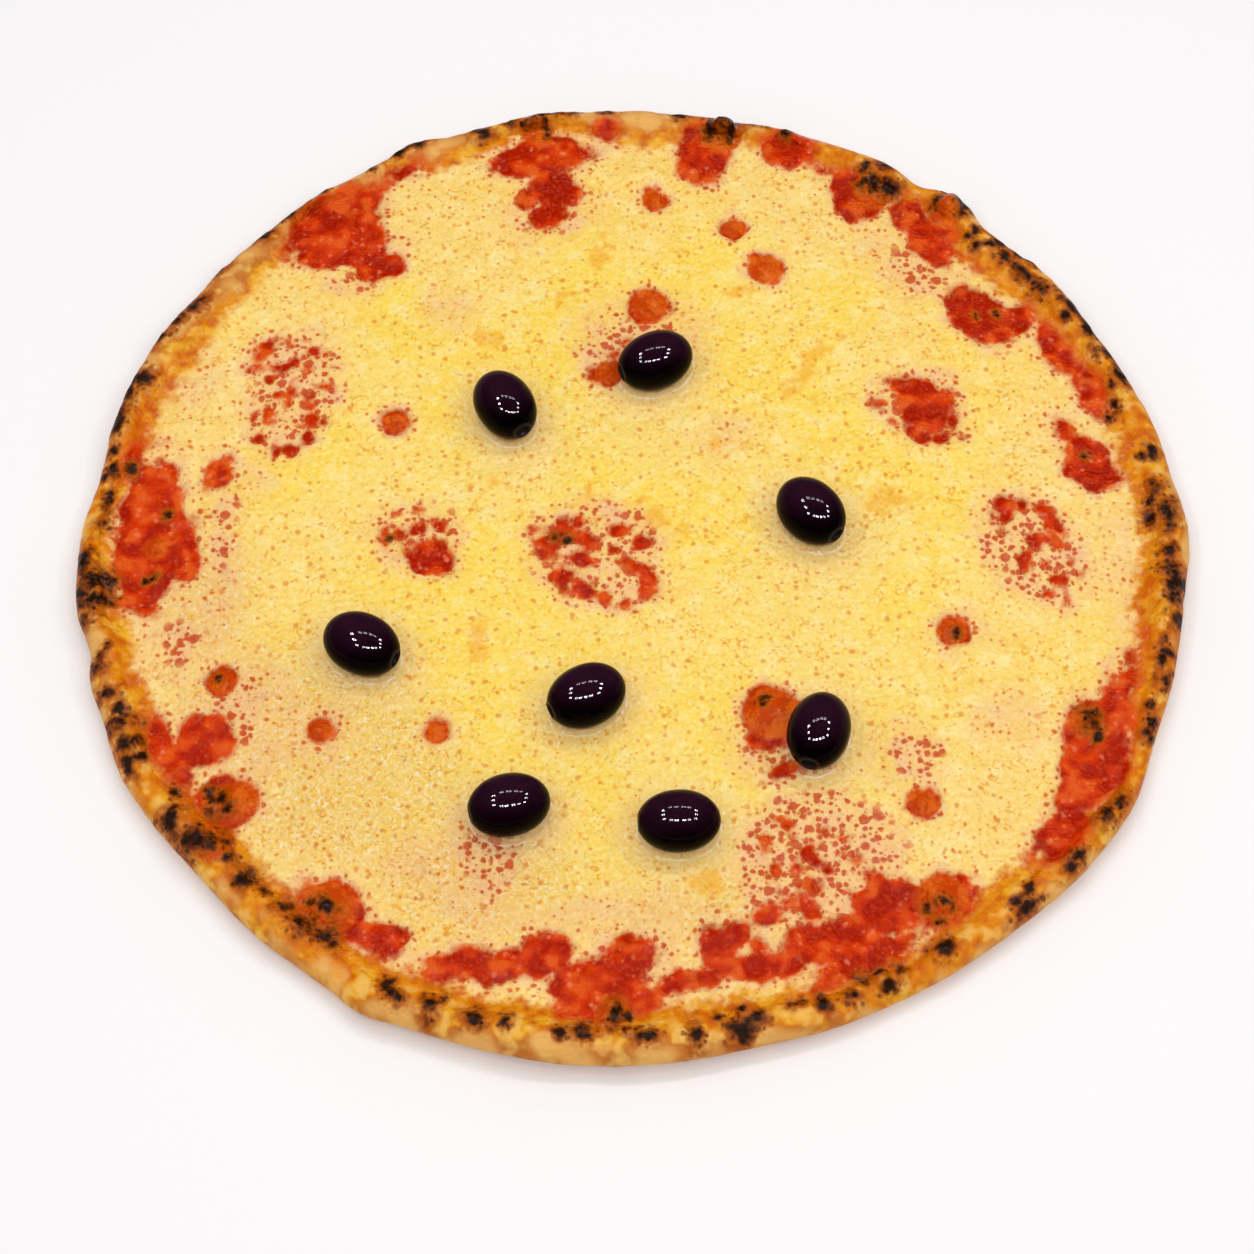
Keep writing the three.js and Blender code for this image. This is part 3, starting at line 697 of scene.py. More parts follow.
# %% Veils, oil and wet places
# Pink veils, where tomato shines through thin cheese: ovals like those of bare tomato
PINK_VEILS = [
    (-8, -3, 21, 20), (-61, 4, 15, 14, -35), (-98, 57, 15, 24, -12), (117, -5, 15, 22, 25),
    (89, 44, 15, 14), (48, -108, 24, 24), (43, -66, 18, 14), (6, 76, 22, 15),
    (-110, -52, 20, 22), (-135, -22, 10, 16), (-112, 28, 10, 8), (32, 37, 10, 7, 30),
    (-50, 86, 9, 8), (-58, -100, 14, 9), (-44, -108, 10, 16), (-40, -93, 16, 11),
    (88, 98, 16, 11, -40), (93, 88, 10, 7), (-130, 66, 10, 16, -20), (-20, 121, 18, 13),
    (12, 148, 22, 7), (75, -72, 12, 12), (105, -62, 12, 10), (-10, -118, 24, 9),
    (92, -34, 10, 9), (-88, -57, 9, 10), (143, -20, 6, 30), (-118, -5, 7, 30),
]
# Where red dots stand dense in them
DENSE_DOTS = [
    (50, -103, 24, 22), (-98, 57, 14, 22, -12), (117, -6, 14, 20, 25), (43, -68, 15, 11),
    (-8, -3, 20, 18), (90, 44, 14, 13), (-60, 4, 13, 12, -35), (6, 70, 15, 11),
    (-112, -50, 9, 14), (-117, 8, 5, 20), (-40, -100, 9, 12), (92, 92, 12, 8, -40),
    (-20, 121, 13, 10), (78, -72, 9, 8), (-128, -28, 6, 10), (-80, 96, 9, 6),
]
# Streaks of orange oil
OIL_STREAKS = [
    (-4, 103, 2.5, 6), (-39, 74, 4.5, 3.5, -20), (-16, 88, 2.5, 3.5), (56, 58, 2.4, 9, -32),
    (77, 11, 8, 4.5, -10), (27, 98, 1.8, 4), (39, 88, 4, 2.5, 30), (19, -109, 6, 4),
    (-37, 22, 4, 1.6, 20), (29, 33, 2, 4, -30), (9, 8, 4, 5, 30), (16, 3, 2.5, 3), (50, 50, 3, 3),
    (60, 64, 5, 2, 10), (-43, -30, 3, 6),
    (128, 80, 4, 3), (4, 13, 2, 1.6), (-10, 18, 1.6, 2), (51, -75, 3, 2), (68, 71, 3, 2),
]
# Places where the cheese is thin, pale and wet
WET = [(-88, -66, 48, 34, -35), (-45, -104, 34, 22, -10), (-120, -15, 14, 26), (20, -118, 30, 10)]

# Stretches of the rim that stayed pale, without much oil: angle, half-width, how pale. Below 0
# the rim is oilier than elsewhere.
PALE_STRETCHES = [
    (128, 26, 0.9), (88, 9, 0.5), (17, 12, -0.4), (38, 9, -0.4), (350, 9, -0.2), (330, 12, -0.25),
    (215, 22, -0.3), (300, 12, -0.2), (190, 10, 0.2), (265, 12, 0.15),
]


def pulp_lumps(x, y):
    """Soft lumps of tomato pulp, 0 to 1."""
    return 0.65 * lumps(x, y, 4.2, 31) + 0.35 * lumps(x, y, 2, 32)


def olive_gap(x, y):
    """How far each place lies from the nearest olive, in mm."""
    gap = np.full(np.shape(x), 60.0)
    for middle_x, middle_y, heading in OLIVES:
        c = cos(radians(heading))
        s = sin(radians(heading))
        dx = x - middle_x
        dy = y - middle_y
        share = np.hypot((dx * c + dy * s) / OLIVE_HALF_LENGTH, (dy * c - dx * s) / OLIVE_HALF_WIDTH)
        gap = np.minimum(gap, np.maximum(share - 0.78, 0) * OLIVE_HALF_WIDTH)
    return gap


def blister_field(x, y):
    """1 on the blisters of sauce, 0 away from them."""
    bulge = np.zeros(np.shape(x))
    for middle_x, middle_y, half_width, _ in SAUCE_BLISTERS:
        bulge = np.maximum(bulge, smooth(dome(x, y, middle_x, middle_y, half_width * 1.05), 0.05, 0.5))
    for angle, radius, half_width, _ in DOUGH_BLISTERS:
        if angle in ORANGE_BLISTERS:
            rise = dome(x, y, *on_ring(angle, radius - 1.5), half_width * 1.1)
            bulge = np.maximum(bulge, smooth(rise, 0.05, 0.5))
    return bulge


def paint_food(obj, x, y, depth):
    """The numbers that all the baked surfaces take their colours from."""
    angle = np.degrees(np.arctan2(y, x)) % 360
    streaks = depth_in(x, y, OIL_STREAKS) - 0.4
    streaks += 4 * (lumps(x, y, 3, 41) - 0.5) + 2.4 * (lumps(x, y, 1.4, 43) - 0.5)
    paint(obj, "depth", np.clip(depth, -14, 10))
    paint(obj, "veil", smooth(depth_in(x, y, PINK_VEILS) + 6 * (lumps(x, y, 7, 42) - 0.5), -4, 6))
    paint(obj, "dense", smooth(depth_in(x, y, DENSE_DOTS) + 5 * (lumps(x, y, 5, 44) - 0.5), -3, 3))
    paint(obj, "oil", smooth(streaks, -1, 1))
    paint(obj, "wet", smooth(depth_in(x, y, WET), -10, 14))
    paint(obj, "rimward", np.hypot(x, y) - rim_inner(angle))
    paint(obj, "pale", bumps_at(angle, PALE_STRETCHES))
    paint(obj, "blister", blister_field(x, y))
    paint(obj, "lump", pulp_lumps(x, y))
    # From this distance the finishes paint light and shade round each olive: lighter cheese, a shaded
    # contact ring and a highlight on the lip
    paint(obj, "gap", olive_gap(x, y))
    paint(obj, "char", np.maximum(char_field(x, y, SAUCE_CHARS), char_field(x, y, CHARS)))


print(len(PINK_VEILS), "veils", len(OIL_STREAKS), "streaks of oil", len(DENSE_DOTS), "dotted areas")

# %% [markdown]
# ## Raising the rim
# The spun ring is even, and a real rim is not. Displacement by a texture would lump it blindly, so
# the lumps, blisters and chars are worked out for each point from its angle and radius. The
# toppings use the same functions later, to lie on the rim without a gap.

# %% Shape the crust
def rim_lean(angle, radius):
    """How far a place on the rim faces outwards, -0.5 to 1."""
    return np.clip((radius - (outline_radius(angle) - 0.45 * rim_width(angle))) / 6, -0.5, 1)


def rim_swell(angle, radius, flat_radius, height):
    """Lumps of the baked rim in mm: flat_radius and height are those of the even profile."""
    arc = np.radians(angle) * PIZZA_RADIUS
    around = height * 1.3 + flat_radius
    swell = (lumps(arc, around, 10, 11) - 0.5) * 1.5 + (lumps(arc, around, 4.6, 12) - 0.5) * 1.1
    swell += (lumps(arc, around, 2.2, 13) - 0.5) * 0.4
    return swell * smooth(radius - rim_inner(angle), -1, 3) * smooth(height, 0.3, 3)


def shape_crust(obj):
    points = places(obj)
    angle, radius = polar_of(points)
    height = points[:, 2]
    share = (PIZZA_RADIUS - radius) / RIM_WIDTH
    inner = rim_inner(angle)
    flat = PIZZA_RADIUS - RIM_WIDTH
    new_radius = np.where(share < 1, outline_radius(angle) - share * rim_width(angle),
                          radius * inner / flat)
    top_share = smooth(height, DOUGH_TOP, RIM_CREST)
    new_height = height + top_share * (rim_crest(angle) - RIM_CREST)
    new_height += front_lift(angle) * smooth(new_radius, 143, 156)
    turn = np.radians(angle)
    x = new_radius * np.cos(turn)
    y = new_radius * np.sin(turn)
    swell = rim_swell(angle, new_radius, radius, height)
    lean = rim_lean(angle, new_radius)
    new_radius = new_radius + swell * lean * 0.35
    new_height = new_height + swell * (1 - 0.6 * np.abs(lean))
    upward = smooth(height, 5, 7.5)
    for blister_angle, blister_radius, half_width, top in DOUGH_BLISTERS:
        raise_by = dome(x, y, *on_ring(blister_angle, blister_radius), half_width)
        new_height = np.maximum(new_height, upward * raise_by * top)
    burnt = char_field(x, y, CHARS)
    new_height += upward * burnt * (0.5 + 0.9 * (lumps(x, y, 1.8, 14) - 0.5))
    under = height < 0.05
    new_height = np.where(under, np.maximum(new_height, 0), new_height)
    x = new_radius * np.cos(turn)
    y = new_radius * np.sin(turn)
    set_places(obj, np.column_stack([x, y, new_height]))
    paint_food(obj, x, y, tomato_depth(x, y))
    paint(obj, "wall", smooth(height, 6.5, 2.5) * smooth(new_radius, 150, 156))


shape_crust(crust)
finish_piece(crust, "baked_crust", "crust")

# %% [markdown]
# ## Tomato sauce
# The sauce lies as a thin sheet under the cheese and wells up where the cheese parts. There it is
# pulp: soft lumps, wet between them, with blisters that the steam blew. The sheet only needs its
# fine top there, but one even grid is simpler and still light.

# %% Make the sauce
RIM_TOP = RIM_PROFILE[6:]
SLOPE_SHARES = [(PIZZA_RADIUS - radius) / RIM_WIDTH for radius, _ in RIM_TOP]
SLOPE_HEIGHTS = [height for _, height in RIM_TOP]


def lap_radius(angle):
    """Where a topping ends under the swell of the rim."""
    return rim_inner(angle) + 0.42 * rim_width(angle)


def slope_height(radius, angle):
    """Height of the rim's inner slope, the floor's height inside it."""
    share = (outline_radius(angle) - radius) / rim_width(angle)
    height = np.interp(share, SLOPE_SHARES, SLOPE_HEIGHTS)
    swell = rim_swell(angle, radius, PIZZA_RADIUS - share * RIM_WIDTH, height)
    swell = swell * (1 - 0.6 * np.abs(rim_lean(angle, radius)))
    swell = swell + front_lift(angle) * smooth(radius, 143, 156)
    return height + smooth(height, DOUGH_TOP, RIM_CREST) * (rim_crest(angle) - RIM_CREST) + swell


def melt_into_rim(height, radius, angle, skin):
    """Lays a topping up the rim as a thin skin that dips under the surface before it ends."""
    slope = slope_height(radius, angle)
    over = height - slope
    fillet = 0.55 + 0.5 * skin + 0.35 * smooth(angle, 225, 245) * smooth(angle, 310, 290)
    over = np.maximum(over, 0) + fillet * np.exp(-np.abs(over) / fillet / 2)
    gone = smooth(radius, lap_radius(angle) - 3, lap_radius(angle) - 0.3)
    on_rim = smooth(radius, rim_inner(angle) - 9, rim_inner(angle) - 4)
    laid = slope + over * (1 - gone) - 0.45 * gone
    return height * (1 - on_rim) + laid * on_rim


def cheese_height(x, y):
    """Top of the unbroken cheese."""
    angle = np.degrees(np.arctan2(y, x)) % 360
    wave = 0.4 * (0.6 * np.sin(x / 13 + np.sin(y / 17)) + 0.4 * np.sin(y / 11 - x / 23))
    fine = 0.8 * (lumps(x, y, 11, 21) - 0.5) + 0.5 * (lumps(x, y, 5, 22) - 0.5)
    fine += 0.22 * (lumps(x, y, 2.6, 23) - 0.5)
    thin = smooth(np.hypot(x, y), rim_inner(angle) - 14, rim_inner(angle))
    return CHEESE_TOP + wave + fine - 0.5 * thin


def olive_places():
    """Middle of each olive in mm, from its solid, and its heading."""
    for number, (_, _, heading) in enumerate(OLIVES, 1):
        low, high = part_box(f"olive_{number}")
        middle = (low + high) / 2
        yield (middle.x - SHIFT_X) / MM, (middle.y - SHIFT_Y) / MM, middle.z / MM, heading


OLIVE_PLACES = list(olive_places())


def press_olives(x, y, height):
    """Pockets that the olives have pressed into a sheet, with a wet lip round each."""
    for middle_x, middle_y, middle_z, heading in OLIVE_PLACES:
        c = cos(radians(heading))
        s = sin(radians(heading))
        dx = x - middle_x
        dy = y - middle_y
        u = (dx * c + dy * s) / OLIVE_HALF_LENGTH
        v = (dy * c - dx * s) / OLIVE_HALF_WIDTH
        share = np.hypot(u, v)
        beyond = np.maximum(share - 0.78, 0) * OLIVE_HALF_WIDTH
        height = height + 0.7 * np.exp(-beyond / 4) + 1.5 * np.exp(-beyond / 0.9)
        under = middle_z - OLIVE_HALF_WIDTH * np.sqrt(np.clip(1 - share ** 2, 0, 1)) - 0.1
        height = np.where(share < 1.02, np.minimum(height, under), height)
    return height


def make_sauce():
    def keep(x, y):
        angle = np.degrees(np.arctan2(y, x)) % 360
        radius = np.hypot(x, y)
        bare = tomato_depth(x, y) > -3
        return (radius < rim_inner(angle) + 0.5) | (bare & (radius < lap_radius(angle)))

    obj, top_count = sheet_of_food(1.1, keep, DOUGH_TOP - 0.2)
    points = places(obj)
    x, y = points[:, 0], points[:, 1]
    angle, radius = polar_of(points)
    depth = tomato_depth(x, y)
    open_ = smooth(depth, -3, 0.5)
    pulp = 2.2 * (pulp_lumps(x, y) - 0.5)
    height = SAUCE_TOP + open_ * (PULP_TOP - SAUCE_TOP + 0.4 + pulp)
    height = melt_into_rim(height, radius, angle, 0.15 + open_ * 0.75)
    for middle_x, middle_y, half_width, top in SAUCE_BLISTERS:
        rise = dome(x, y, middle_x, middle_y, half_width * 1.05)
        height = np.maximum(height, rise * (top + 0.35 * pulp))
    height = press_olives(x, y, height) - 0.2
    z = np.where(np.arange(len(x)) < top_count, height, DOUGH_TOP - 0.2)
    paint_food(obj, x, y, depth)
    set_places(obj, np.column_stack([x, y, z]))
    finish_piece(obj, "tomato_pulp", "tomato_sauce")
    return obj


sauce = make_sauce()

# %% [markdown]
# ## Mozzarella
# The cheese melted into one sheet that thins towards every bare patch and laps onto the rim. Its
# faces are removed where the tomato lies bare, so the openings are real, and their rough edges
# stay hidden under the pulp, because the sheet dips there before it ends.

# %% Make the cheese
OPEN_DEPTH = 1.6


def make_cheese():
    def keep(x, y):
        angle = np.degrees(np.arctan2(y, x)) % 360
        return (np.hypot(x, y) < lap_radius(angle)) & (tomato_depth(x, y) < OPEN_DEPTH)

    obj, top_count = sheet_of_food(1.0, keep, SAUCE_TOP - 0.2)
    points = places(obj)
    x, y = points[:, 0], points[:, 1]
    angle, radius = polar_of(points)
    depth = tomato_depth(x, y)
    sunk = smooth(depth, -1, 1.4)
    height = cheese_height(x, y) * (1 - sunk) + (SAUCE_TOP + 0.3) * sunk
    height = melt_into_rim(height, radius, angle, 0.15 + (1 - sunk) * 0.55)
    height = press_olives(x, y, height)
    z = np.where(np.arange(len(x)) < top_count, height, SAUCE_TOP - 0.2)
    paint_food(obj, x, y, depth)
    set_places(obj, np.column_stack([x, y, z]))
    finish_piece(obj, "melted_mozzarella", "mozzarella")
    return obj


cheese = make_cheese()

# %% [markdown]
# ## Olives
# Eight whole dark olives lie on the cheese. Each starts as a sphere, is drawn out to an egg shape,
# gets its own slight unevenness, and has the hollow of its stem pushed into one end.

# %% Make the olives
SCAR_RADIUS = 2.6
SCAR_DEPTH = 1.5


def make_olive(number, middle, heading):
    bpy.ops.object.select_all(action="DESELECT")
    bpy.ops.mesh.primitive_uv_sphere_add(segments=56, ring_count=56, radius=1)
    obj = bpy.context.object
    points = places(obj)
    x, y, z = points.T
    girth = np.hypot(x, y)
    full = np.power(np.clip(1 - np.abs(z) ** 2.2, 0, 1), 0.5)
    widen = np.where(girth > 1e-6, full / np.maximum(girth, 1e-6), 0)
    turn = np.arctan2(y, x)
    uneven = 1 + 0.012 * np.sin(2 * turn + number) + 0.008 * np.sin(3 * turn + 2 * number + 2 * z)
    radius = OLIVE_HALF_WIDTH * girth * widen * uneven
    along = z * (OLIVE_HALF_LENGTH - 0.2) - 0.25 * np.sin(pi * z)
    scar = smooth(radius, SCAR_RADIUS, SCAR_RADIUS * 0.55) * (z > 0)
    lip = np.exp(-((radius - SCAR_RADIUS) / 0.45) ** 2) * (z > 0)
    along = along - SCAR_DEPTH * scar + 0.16 * lip
    set_places(obj, np.column_stack([radius * np.cos(turn), radius * np.sin(turn), along]))
    paint(obj, "scar", scar)
    paint(obj, "lip", lip)
    tip = Matrix.Rotation(radians(88), 4, "Y")
    aim = Matrix.Rotation(radians(heading), 4, "Z")
    obj.data.transform(Matrix.Translation(middle) @ aim @ tip)
    x, y, z = (places(obj) - np.array(middle)).T / OLIVE_HALF_WIDTH
    # Painted light: how far each point faces up and back, towards the lamps; the skin is painted lighter
    # there and near black on the far side
    paint(obj, "lit", 0.8 * z + 0.6 * y)
    finish_piece(obj, f"dark_olive_{number}", f"olive_{number}")
    olive_skins.objects.link(obj)
    return obj


olives = [make_olive(number, (x, y, z), heading)
          for number, (x, y, z, heading) in enumerate(OLIVE_PLACES, 1)]

# %% [markdown]
# ## Materials: a small language
# Shader maths reads best as sums. A Value wraps one socket and turns +, - and * into Math nodes.
# A Finish holds one material and adds any other node with one method.

# %% Value and Finish
class Value:
    """One number that varies over a surface."""

    def __init__(self, finish, socket):
        self.finish = finish
        self.socket = socket

    def _math(self, operation, first, second):
        node = self.finish.node("ShaderNodeMath", {"operation": operation}, {0: first, 1: second})
        return Value(self.finish, node.outputs[0])

    def __add__(self, other):
        return self._math("ADD", self, other)

    __radd__ = __add__

    def __sub__(self, other):
        return self._math("SUBTRACT", self, other)

    def __rsub__(self, other):
        return self._math("SUBTRACT", other, self)

    def __mul__(self, other):
        return self._math("MULTIPLY", self, other)

    __rmul__ = __mul__

    def least(self, other):
        return self._math("MINIMUM", self, other)

    def most(self, other):
        return self._math("MAXIMUM", self, other)

    def square(self):
        return self * self

    def step(self, low, high):
        """0 below low, 1 above high, soft between; low may be the larger one."""
        flip = low > high
        node = self.finish.node("ShaderNodeMapRange", {"interpolation_type": "SMOOTHSTEP"}, {
            "Value": self, "From Min": min(low, high), "From Max": max(low, high),
            "To Min": 1.0 if flip else 0.0, "To Max": 0.0 if flip else 1.0,
        })
        return Value(self.finish, node.outputs[0])


class Finish:
    """A material and the node-making method that all its nodes come from."""

    def __init__(self, name):
        self.material = bpy.data.materials.new(name)
        self.material.use_nodes = True
        self.tree = self.material.node_tree
        self.shader = self.tree.nodes["Principled BSDF"]
        self.place = self.node("ShaderNodeTexCoord").outputs["Object"]
        self.frayed = (self.noise(1.5, 1) - 0.5) * 1.5

    def node(self, kind, settings=None, inputs=None):
        node = self.tree.nodes.new(kind)
        for name, value in (settings or {}).items():
            setattr(node, name, value)
        for name, value in (inputs or {}).items():
            self.feed(node.inputs[name], value)
        return node

    def feed(self, socket, value):
        if isinstance(value, Value):
            value = value.socket
        if isinstance(value, bpy.types.NodeSocket):
            self.tree.links.new(value, socket)
        else:
            socket.default_value = value

    def painted(self, name):
        """A number stored on the piece's points."""
        node = self.node("ShaderNodeAttribute", {"attribute_name": name})
        return Value(self, node.outputs["Fac"])

    def noise(self, size_mm, detail=2.0, rough=0.5, warp=0.0, shift=0.0):
        """Noise around 0.5 with lumps about size_mm across."""
        place = self.place
        if shift:
            place = self.node("ShaderNodeVectorMath", {"operation": "ADD"},
                              {0: place, 1: (shift, shift, shift)}).outputs[0]
        node = self.node("ShaderNodeTexNoise", {}, {
            "Vector": place, "Scale": 1000 / size_mm, "Detail": detail, "Roughness": rough,
            "Distortion": warp,
        })
        return Value(self, node.outputs["Fac"])

    def cells(self, size_mm, shift=0.0):
        """Scattered points size_mm apart: distance to the nearest one in mm, and its own number."""
        place = self.node("ShaderNodeVectorMath", {"operation": "ADD"},
                          {0: self.place, 1: (shift, shift, shift)}).outputs[0]
        node = self.node("ShaderNodeTexVoronoi", {"voronoi_dimensions": "2D"},
                         {"Vector": place, "Scale": 1000 / size_mm})
        pick = self.node("ShaderNodeSeparateColor", {}, {"Color": node.outputs["Color"]})
        return Value(self, node.outputs["Distance"]) * size_mm, Value(self, pick.outputs[0])

    def specks(self, spacing_mm, largest_mm, shift, grow=0.0):
        """Ragged dots of all sizes up to largest_mm; grow in mm makes every dot bigger."""
        near, pick = self.cells(spacing_mm, shift)
        size = pick * pick * (largest_mm * 0.5) + grow
        return (near + self.frayed - size).step(0.3, -0.42)

    def mix(self, factor, first, second):
        """Colour between two colours."""
        node = self.node("ShaderNodeMix", {"data_type": "RGBA"}, {0: factor, 6: first, 7: second})
        return node.outputs[2]

    def bump(self, height, mm, normal=None):
        """Normal of a relief whose height, 0 to 1, stands for that many millimetres."""
        inputs = {"Height": height, "Distance": mm * MM, "Strength": 1.0}
        if normal is not None:
            inputs["Normal"] = normal
        return self.node("ShaderNodeBump", {}, inputs).outputs[0]

    def dress(self, *pieces):
        for piece in pieces:
            piece.data.materials.clear()
            piece.data.materials.append(self.material)


def rgb(red, green, blue):
    """Colour as a screen shows it, 0 to 255, as the linear colour that the shader wants."""
    def linear(value):
        value /= 255
        return value / 12.92 if value <= 0.04045 else ((value + 0.055) / 1.055) ** 2.4
    return (linear(red), linear(green), linear(blue), 1)


# %% [markdown]
# ## One baked surface
# Cheese, tomato and crust have no hard borders: cheese turns pink and breaks into red dots before
# it parts, and oil stains the foot of the rim amber. Three separate materials would show a line
# wherever two pieces meet. So all three are made by the same functions, which read the painted
# numbers, and meet in the same colours.

# %% Cheese colours
def cheese_colour(finish, depth, veil, wet, rimward, gap):
    dense = finish.painted("dense")
    broad = finish.noise(38, 0)
    curd = finish.noise(7, 3, shift=0.3)
    grain = finish.noise(1.3, 2, shift=0.7)
    cream = (broad.step(0.42, 0.6) * 0.5).most(wet * 0.6)
    colour = finish.mix(cream, rgb(255, 221, 88), rgb(255, 226, 126))
    margin = (rimward.step(-58, -8) + (broad - 0.5) * 1.4 + wet * 0.25) * 0.8
    margin = margin.least(0.85).most(0.0)
    colour = finish.mix(margin * 0.65, colour, rgb(252, 212, 130))
    colour = finish.mix(curd.step(0.52, 0.7) * 0.35, colour, rgb(250, 204, 74))
    colour = finish.mix(curd.step(0.49, 0.34) * 0.5, colour, rgb(255, 236, 160))
    colour = finish.mix(wet * 0.4, colour, rgb(236, 184, 80))
    # Painted light: the cheese is lighter and warmer near each olive, to soften the olives' shadows on
    # it
    colour = finish.mix(gap.step(12, 1) * 0.8, colour, rgb(255, 214, 134))
    colour = finish.mix(grain.step(0.52, 0.7) * 0.25, colour, rgb(240, 180, 60))
    colour = finish.mix(grain.step(0.48, 0.32) * 0.36, colour, rgb(255, 241, 184))
    # Painted highlights: thin pale squiggles for glints on the cheese, faint everywhere and strongest
    # where it is wet
    glint_noise = finish.noise(2.2, 1, shift=2.9) - 0.5
    wet_glints = glint_noise.square().step(0.0012, 0.0001)
    wet_glints = wet_glints * (curd * 3 - 0.9).least(1.0).most(0.0)
    colour = finish.mix(wet_glints * (0.1 + wet * 0.55), colour, rgb(255, 248, 222))
    flock = finish.noise(9, 1, shift=1.3).step(0.4, 0.6)
    fleck = finish.noise(2.2, 2, 0.5, 1.4, 2.3).step(0.56, 0.68)
    strength = (0.14 + flock * 0.66 + wet * 0.3).least(0.9)
    colour = finish.mix(fleck * strength, colour, rgb(238, 166, 38))
    colour = finish.mix(finish.specks(3.6, 1.7, 1.1) * 0.65, colour, rgb(224, 126, 26))
    blush = (depth.step(-4, -0.4) * 0.8).most(veil * 0.5).most(dense * 0.85)
    colour = finish.mix(blush * (curd * -1.6 + 1.5).least(1.0), colour, rgb(243, 186, 136))
    crowd = (depth.step(-7, -0.5) * 0.85).most(veil * 0.6).most(margin * 0.5).most(dense)
    crowd = crowd * (broad * 0.7 + curd * 0.7 + 0.35).least(1.0)
    red_dot = finish.specks(2.1, 2.1, 3.1, crowd * 1.2 - 0.98)
    blob = finish.specks(3.9, 3.8, 5.3, dense * 1.1 - 1.1) * dense
    red_dot = red_dot.most(blob)
    red = finish.mix(crowd.step(0.35, 0.95), rgb(224, 116, 26), rgb(200, 56, 8))
    return finish.mix(red_dot * 0.88, colour, red)


# %% Tomato colours
def tomato_colour(finish, depth, blister, lump):
    pulp = finish.noise(6, 1, shift=4)
    fine = finish.noise(1.4, 2, shift=5)
    # Partly the pulp's own colours, partly painted light and shade: lump tops lighter and orange, the
    # hollows between them darker red
    top = lump + (pulp - 0.5) * 1.2
    colour = finish.mix(top.step(0.3, 0.62), rgb(172, 14, 0), rgb(210, 44, 0))
    deep = finish.noise(9, 1, shift=4.4)
    colour = finish.mix(deep.step(0.53, 0.68) * 0.65, colour, rgb(158, 8, 0))
    colour = finish.mix(top.step(0.55, 0.85) * 0.8, colour, rgb(232, 92, 24))
    colour = finish.mix(fine.step(0.52, 0.72) * 0.3, colour, rgb(230, 92, 20))
    wisp = finish.noise(3.6, 1, shift=6).step(0.6, 0.74) * depth.step(3.2, 0.3)
    colour = finish.mix(wisp * 0.2, colour, rgb(238, 146, 84))
    colour = finish.mix(depth.step(1.2, -0.9) * 0.6, colour, rgb(226, 92, 26))
    glint = finish.specks(2.5, 1.9, 6.6, -0.12) * pulp.step(0.44, 0.56)
    colour = finish.mix(glint * 0.5, colour, rgb(244, 134, 94))
    orange = finish.mix((fine + lump).step(0.8, 1.25), rgb(204, 66, 2), rgb(228, 104, 20))
    return finish.mix(blister * 0.85, colour, orange)


# %% Crust colours
def crust_colour(finish, rimward, depth, plain):
    broad = finish.noise(11, 1, shift=7)
    patch = finish.noise(4.6, 1, shift=8)
    fine = finish.noise(1.7, 1, shift=9)
    dough = finish.mix(broad.step(0.35, 0.62), rgb(236, 178, 94), rgb(198, 116, 40))
    dough = finish.mix((patch + broad).step(0.98, 1.25) * 0.6, dough, rgb(164, 86, 22))
    amber = finish.mix(patch.step(0.3, 0.62), rgb(208, 98, 0), rgb(232, 146, 10))
    amber = finish.mix(broad.step(0.54, 0.68) * 0.75, amber, rgb(246, 184, 36))
    amber = finish.mix(fine.step(0.5, 0.72) * 0.35, amber, rgb(182, 76, 0))
    oily = rimward * -0.16 + 1.6 - plain * 1.5 + (broad - 0.5) * 2.2 + (patch - 0.5) * 1.2
    colour = finish.mix(oily.step(-0.35, 0.35), dough, amber)
    pale = (patch + (broad - 0.5) * 0.7).step(0.52, 0.72) * rimward.step(2, 5)
    colour = finish.mix(pale * 0.7, colour, rgb(244, 192, 100))
    stain = (depth + (patch - 0.5) * 6).step(-3.5, 0.5)
    return finish.mix(stain * 0.8, colour, rgb(210, 70, 6))


def scorched(finish, char, colour):
    """Burnt marks: brown first, then dark brown, then black."""
    patch = finish.noise(3.6, 1, shift=10)
    fine = finish.noise(1.3, 1, shift=11)
    heat = char + ((patch - 0.5) * 1.6 + (fine - 0.5) * 0.7) * char.step(0, 0.3) - 0.1
    dots = finish.specks(2.2, 1.9, 12.0) * char.step(0.02, 0.25)
    colour = finish.mix(heat.step(-0.2, 0.35) * 0.85, colour, rgb(172, 80, 6))
    colour = finish.mix((heat.step(0.3, 0.75) * 0.85).most(dots * 0.75), colour, rgb(92, 38, 5))
    black = (heat.step(0.66, 1.02) * 0.92).most(dots * heat.step(0.4, 0.7) * 0.92)
    return finish.mix(black, colour, rgb(26, 12, 5))


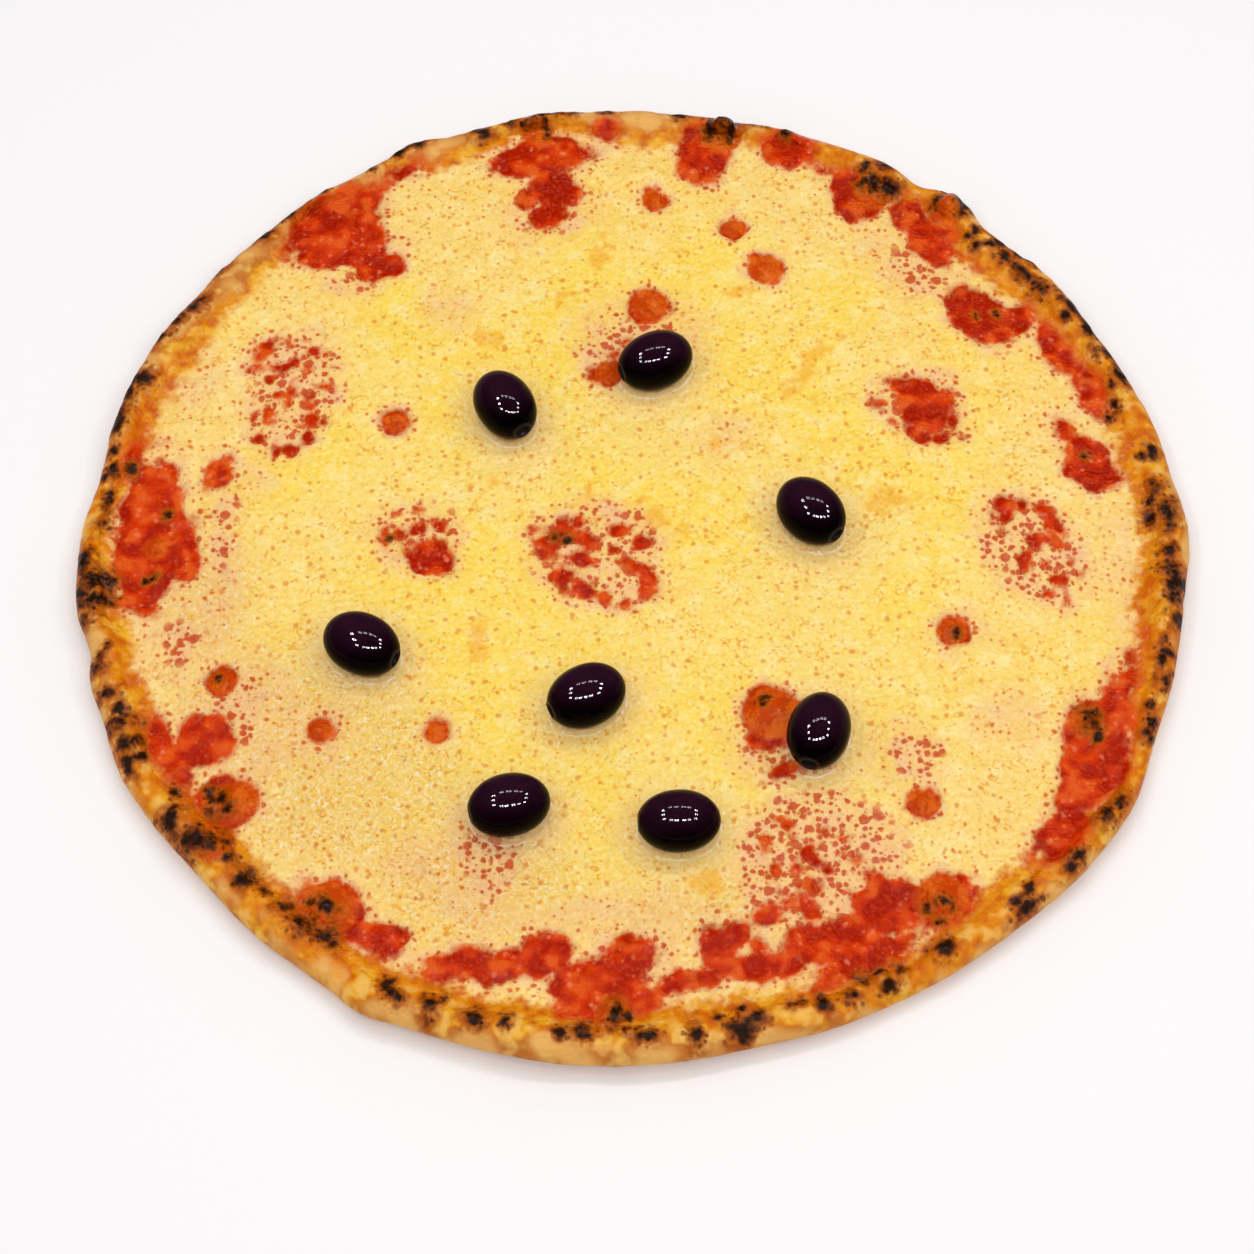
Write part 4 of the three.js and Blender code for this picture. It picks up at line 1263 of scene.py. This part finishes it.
# %% The whole surface
def food_finish(name, gloss):
    """Finish of one baked surface: cheese, tomato and crust, with its own gloss."""
    finish = Finish(name)
    depth = finish.painted("depth")
    veil = finish.painted("veil")
    wet = finish.painted("wet")
    rimward = finish.painted("rimward")
    char = finish.painted("char")
    blister = finish.painted("blister")
    wall = finish.painted("wall")
    ragged = finish.noise(1.9, 1, shift=13)
    loose = finish.noise(5, 1, shift=14)
    tomato_share = (depth + (ragged - 0.5) * 1.6 + (loose - 0.5) * 2).step(-1.1, 0.8).most(blister)
    rim_share = (rimward + (ragged - 0.5) * 4 + (loose - 0.5) * 9).step(-3.5, 1.5)
    gap = finish.painted("gap")
    cheese_part = cheese_colour(finish, depth, veil, wet, rimward, gap)
    oily = finish.painted("oil") * (0.6 + ragged * 0.6)
    cheese_part = finish.mix(oily * 0.65, cheese_part, rgb(246, 174, 26))
    # Painted highlight: a thin near-white line along the wet lip of cheese round each olive
    meniscus_highlight = (gap + (ragged - 0.5) * 0.7 - 1.85).square().step(0.05, 0.005)
    # Painted shade: a darker tan ring where the cheese meets each olive
    cheese_part = finish.mix(gap.step(2, 1.2) * 0.4, cheese_part, rgb(206, 168, 116))
    cheese_part = finish.mix(meniscus_highlight * (loose * 3 - 1).least(0.8), cheese_part, rgb(255, 248, 226))
    rim_part = crust_colour(finish, rimward, depth, finish.painted("pale"))
    colour = finish.mix(rim_share, cheese_part, rim_part)
    tomato_part = tomato_colour(finish, depth, blister, finish.painted("lump"))
    colour = finish.mix(tomato_share * wall.step(0.5, 0), colour, tomato_part)
    colour = scorched(finish, char * wall.step(0.9, 0.2), colour)
    finish.feed(finish.shader.inputs["Base Color"], colour)
    dull = rimward.step(5, 10)
    rough = 0.24 - (wet * 0.14).most(tomato_share * 0.14).most(gap.step(8, 2) * 0.12) + dull * 0.3
    rough = rough + (ragged - 0.4) * 0.06
    finish.feed(finish.shader.inputs["Roughness"], rough)
    relief = finish.bump(finish.noise(2.8, 1, shift=0.5), 1.0)
    shiny = wet.most(tomato_share * 0.9) * 0.65 + 0.35
    relief = finish.bump(finish.noise(1.2, 0, shift=0.9) * shiny, 0.65, relief)
    finish.feed(finish.shader.inputs["Normal"], relief)
    finish.shader.inputs["Specular IOR Level"].default_value = gloss
    return finish


food_finish("melted cheese", 0.24).dress(cheese)
food_finish("tomato pulp", 0.17).dress(sauce)
food_finish("baked crust", 0.14).dress(crust)
print("one recipe dresses", cheese.name, sauce.name, crust.name)

# %% [markdown]
# ## Olive finish
# The skin is almost black with a purple cast and a clear gloss. Light and shade are painted into
# it as well: lighter on top, near black below, and a painted reddish reflection along the lower
# edge. The stem hollow is dull, with a thin pale edge.

# %% Olive finish
def olive_finish():
    finish = Finish("olive skin")
    cloud = finish.noise(6, 2)
    # Painted light and shade: lighter and more purple where the skin faces the light, near black below
    lit = finish.painted("lit") + (cloud - 0.5) * 0.5
    colour = finish.mix(lit.step(-0.25, 1.0), rgb(4, 1, 2), rgb(40, 14, 30))
    # Painted reflection: a dark reddish-brown band along the skin's lower edge
    colour = finish.mix(lit.step(-0.62, -0.9) * 0.8, colour, rgb(60, 14, 8))
    colour = finish.mix(finish.painted("lip") * 0.35, colour, rgb(92, 80, 78))
    colour = finish.mix(finish.painted("scar"), colour, rgb(16, 8, 12))
    finish.feed(finish.shader.inputs["Base Color"], colour)
    finish.feed(finish.shader.inputs["Roughness"], 0.03 + finish.painted("scar") * 0.5)
    finish.shader.inputs["Specular IOR Level"].default_value = 0.035
    return finish


olive_finish().dress(*olives)
print(len(olives), "olives dressed")

# %% Floor finish
floor_finish = Finish("pale floor")
floor_finish.shader.inputs["Base Color"].default_value = rgb(246, 244, 245)
floor_finish.shader.inputs["Roughness"].default_value = 0.9
floor_finish.dress(floor)

# %% [markdown]
# ## The size of the dressed pizza
# The dressed pizza should fill the same box as its solids, apart from the last swellings of its
# right edge. Both boxes are printed, so that the two can be compared.

boxes = {"cad": cad_bounds, "visual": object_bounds()}
{name: [list(corner) for corner in box] for name, box in boxes.items()}
print("boxes", boxes)
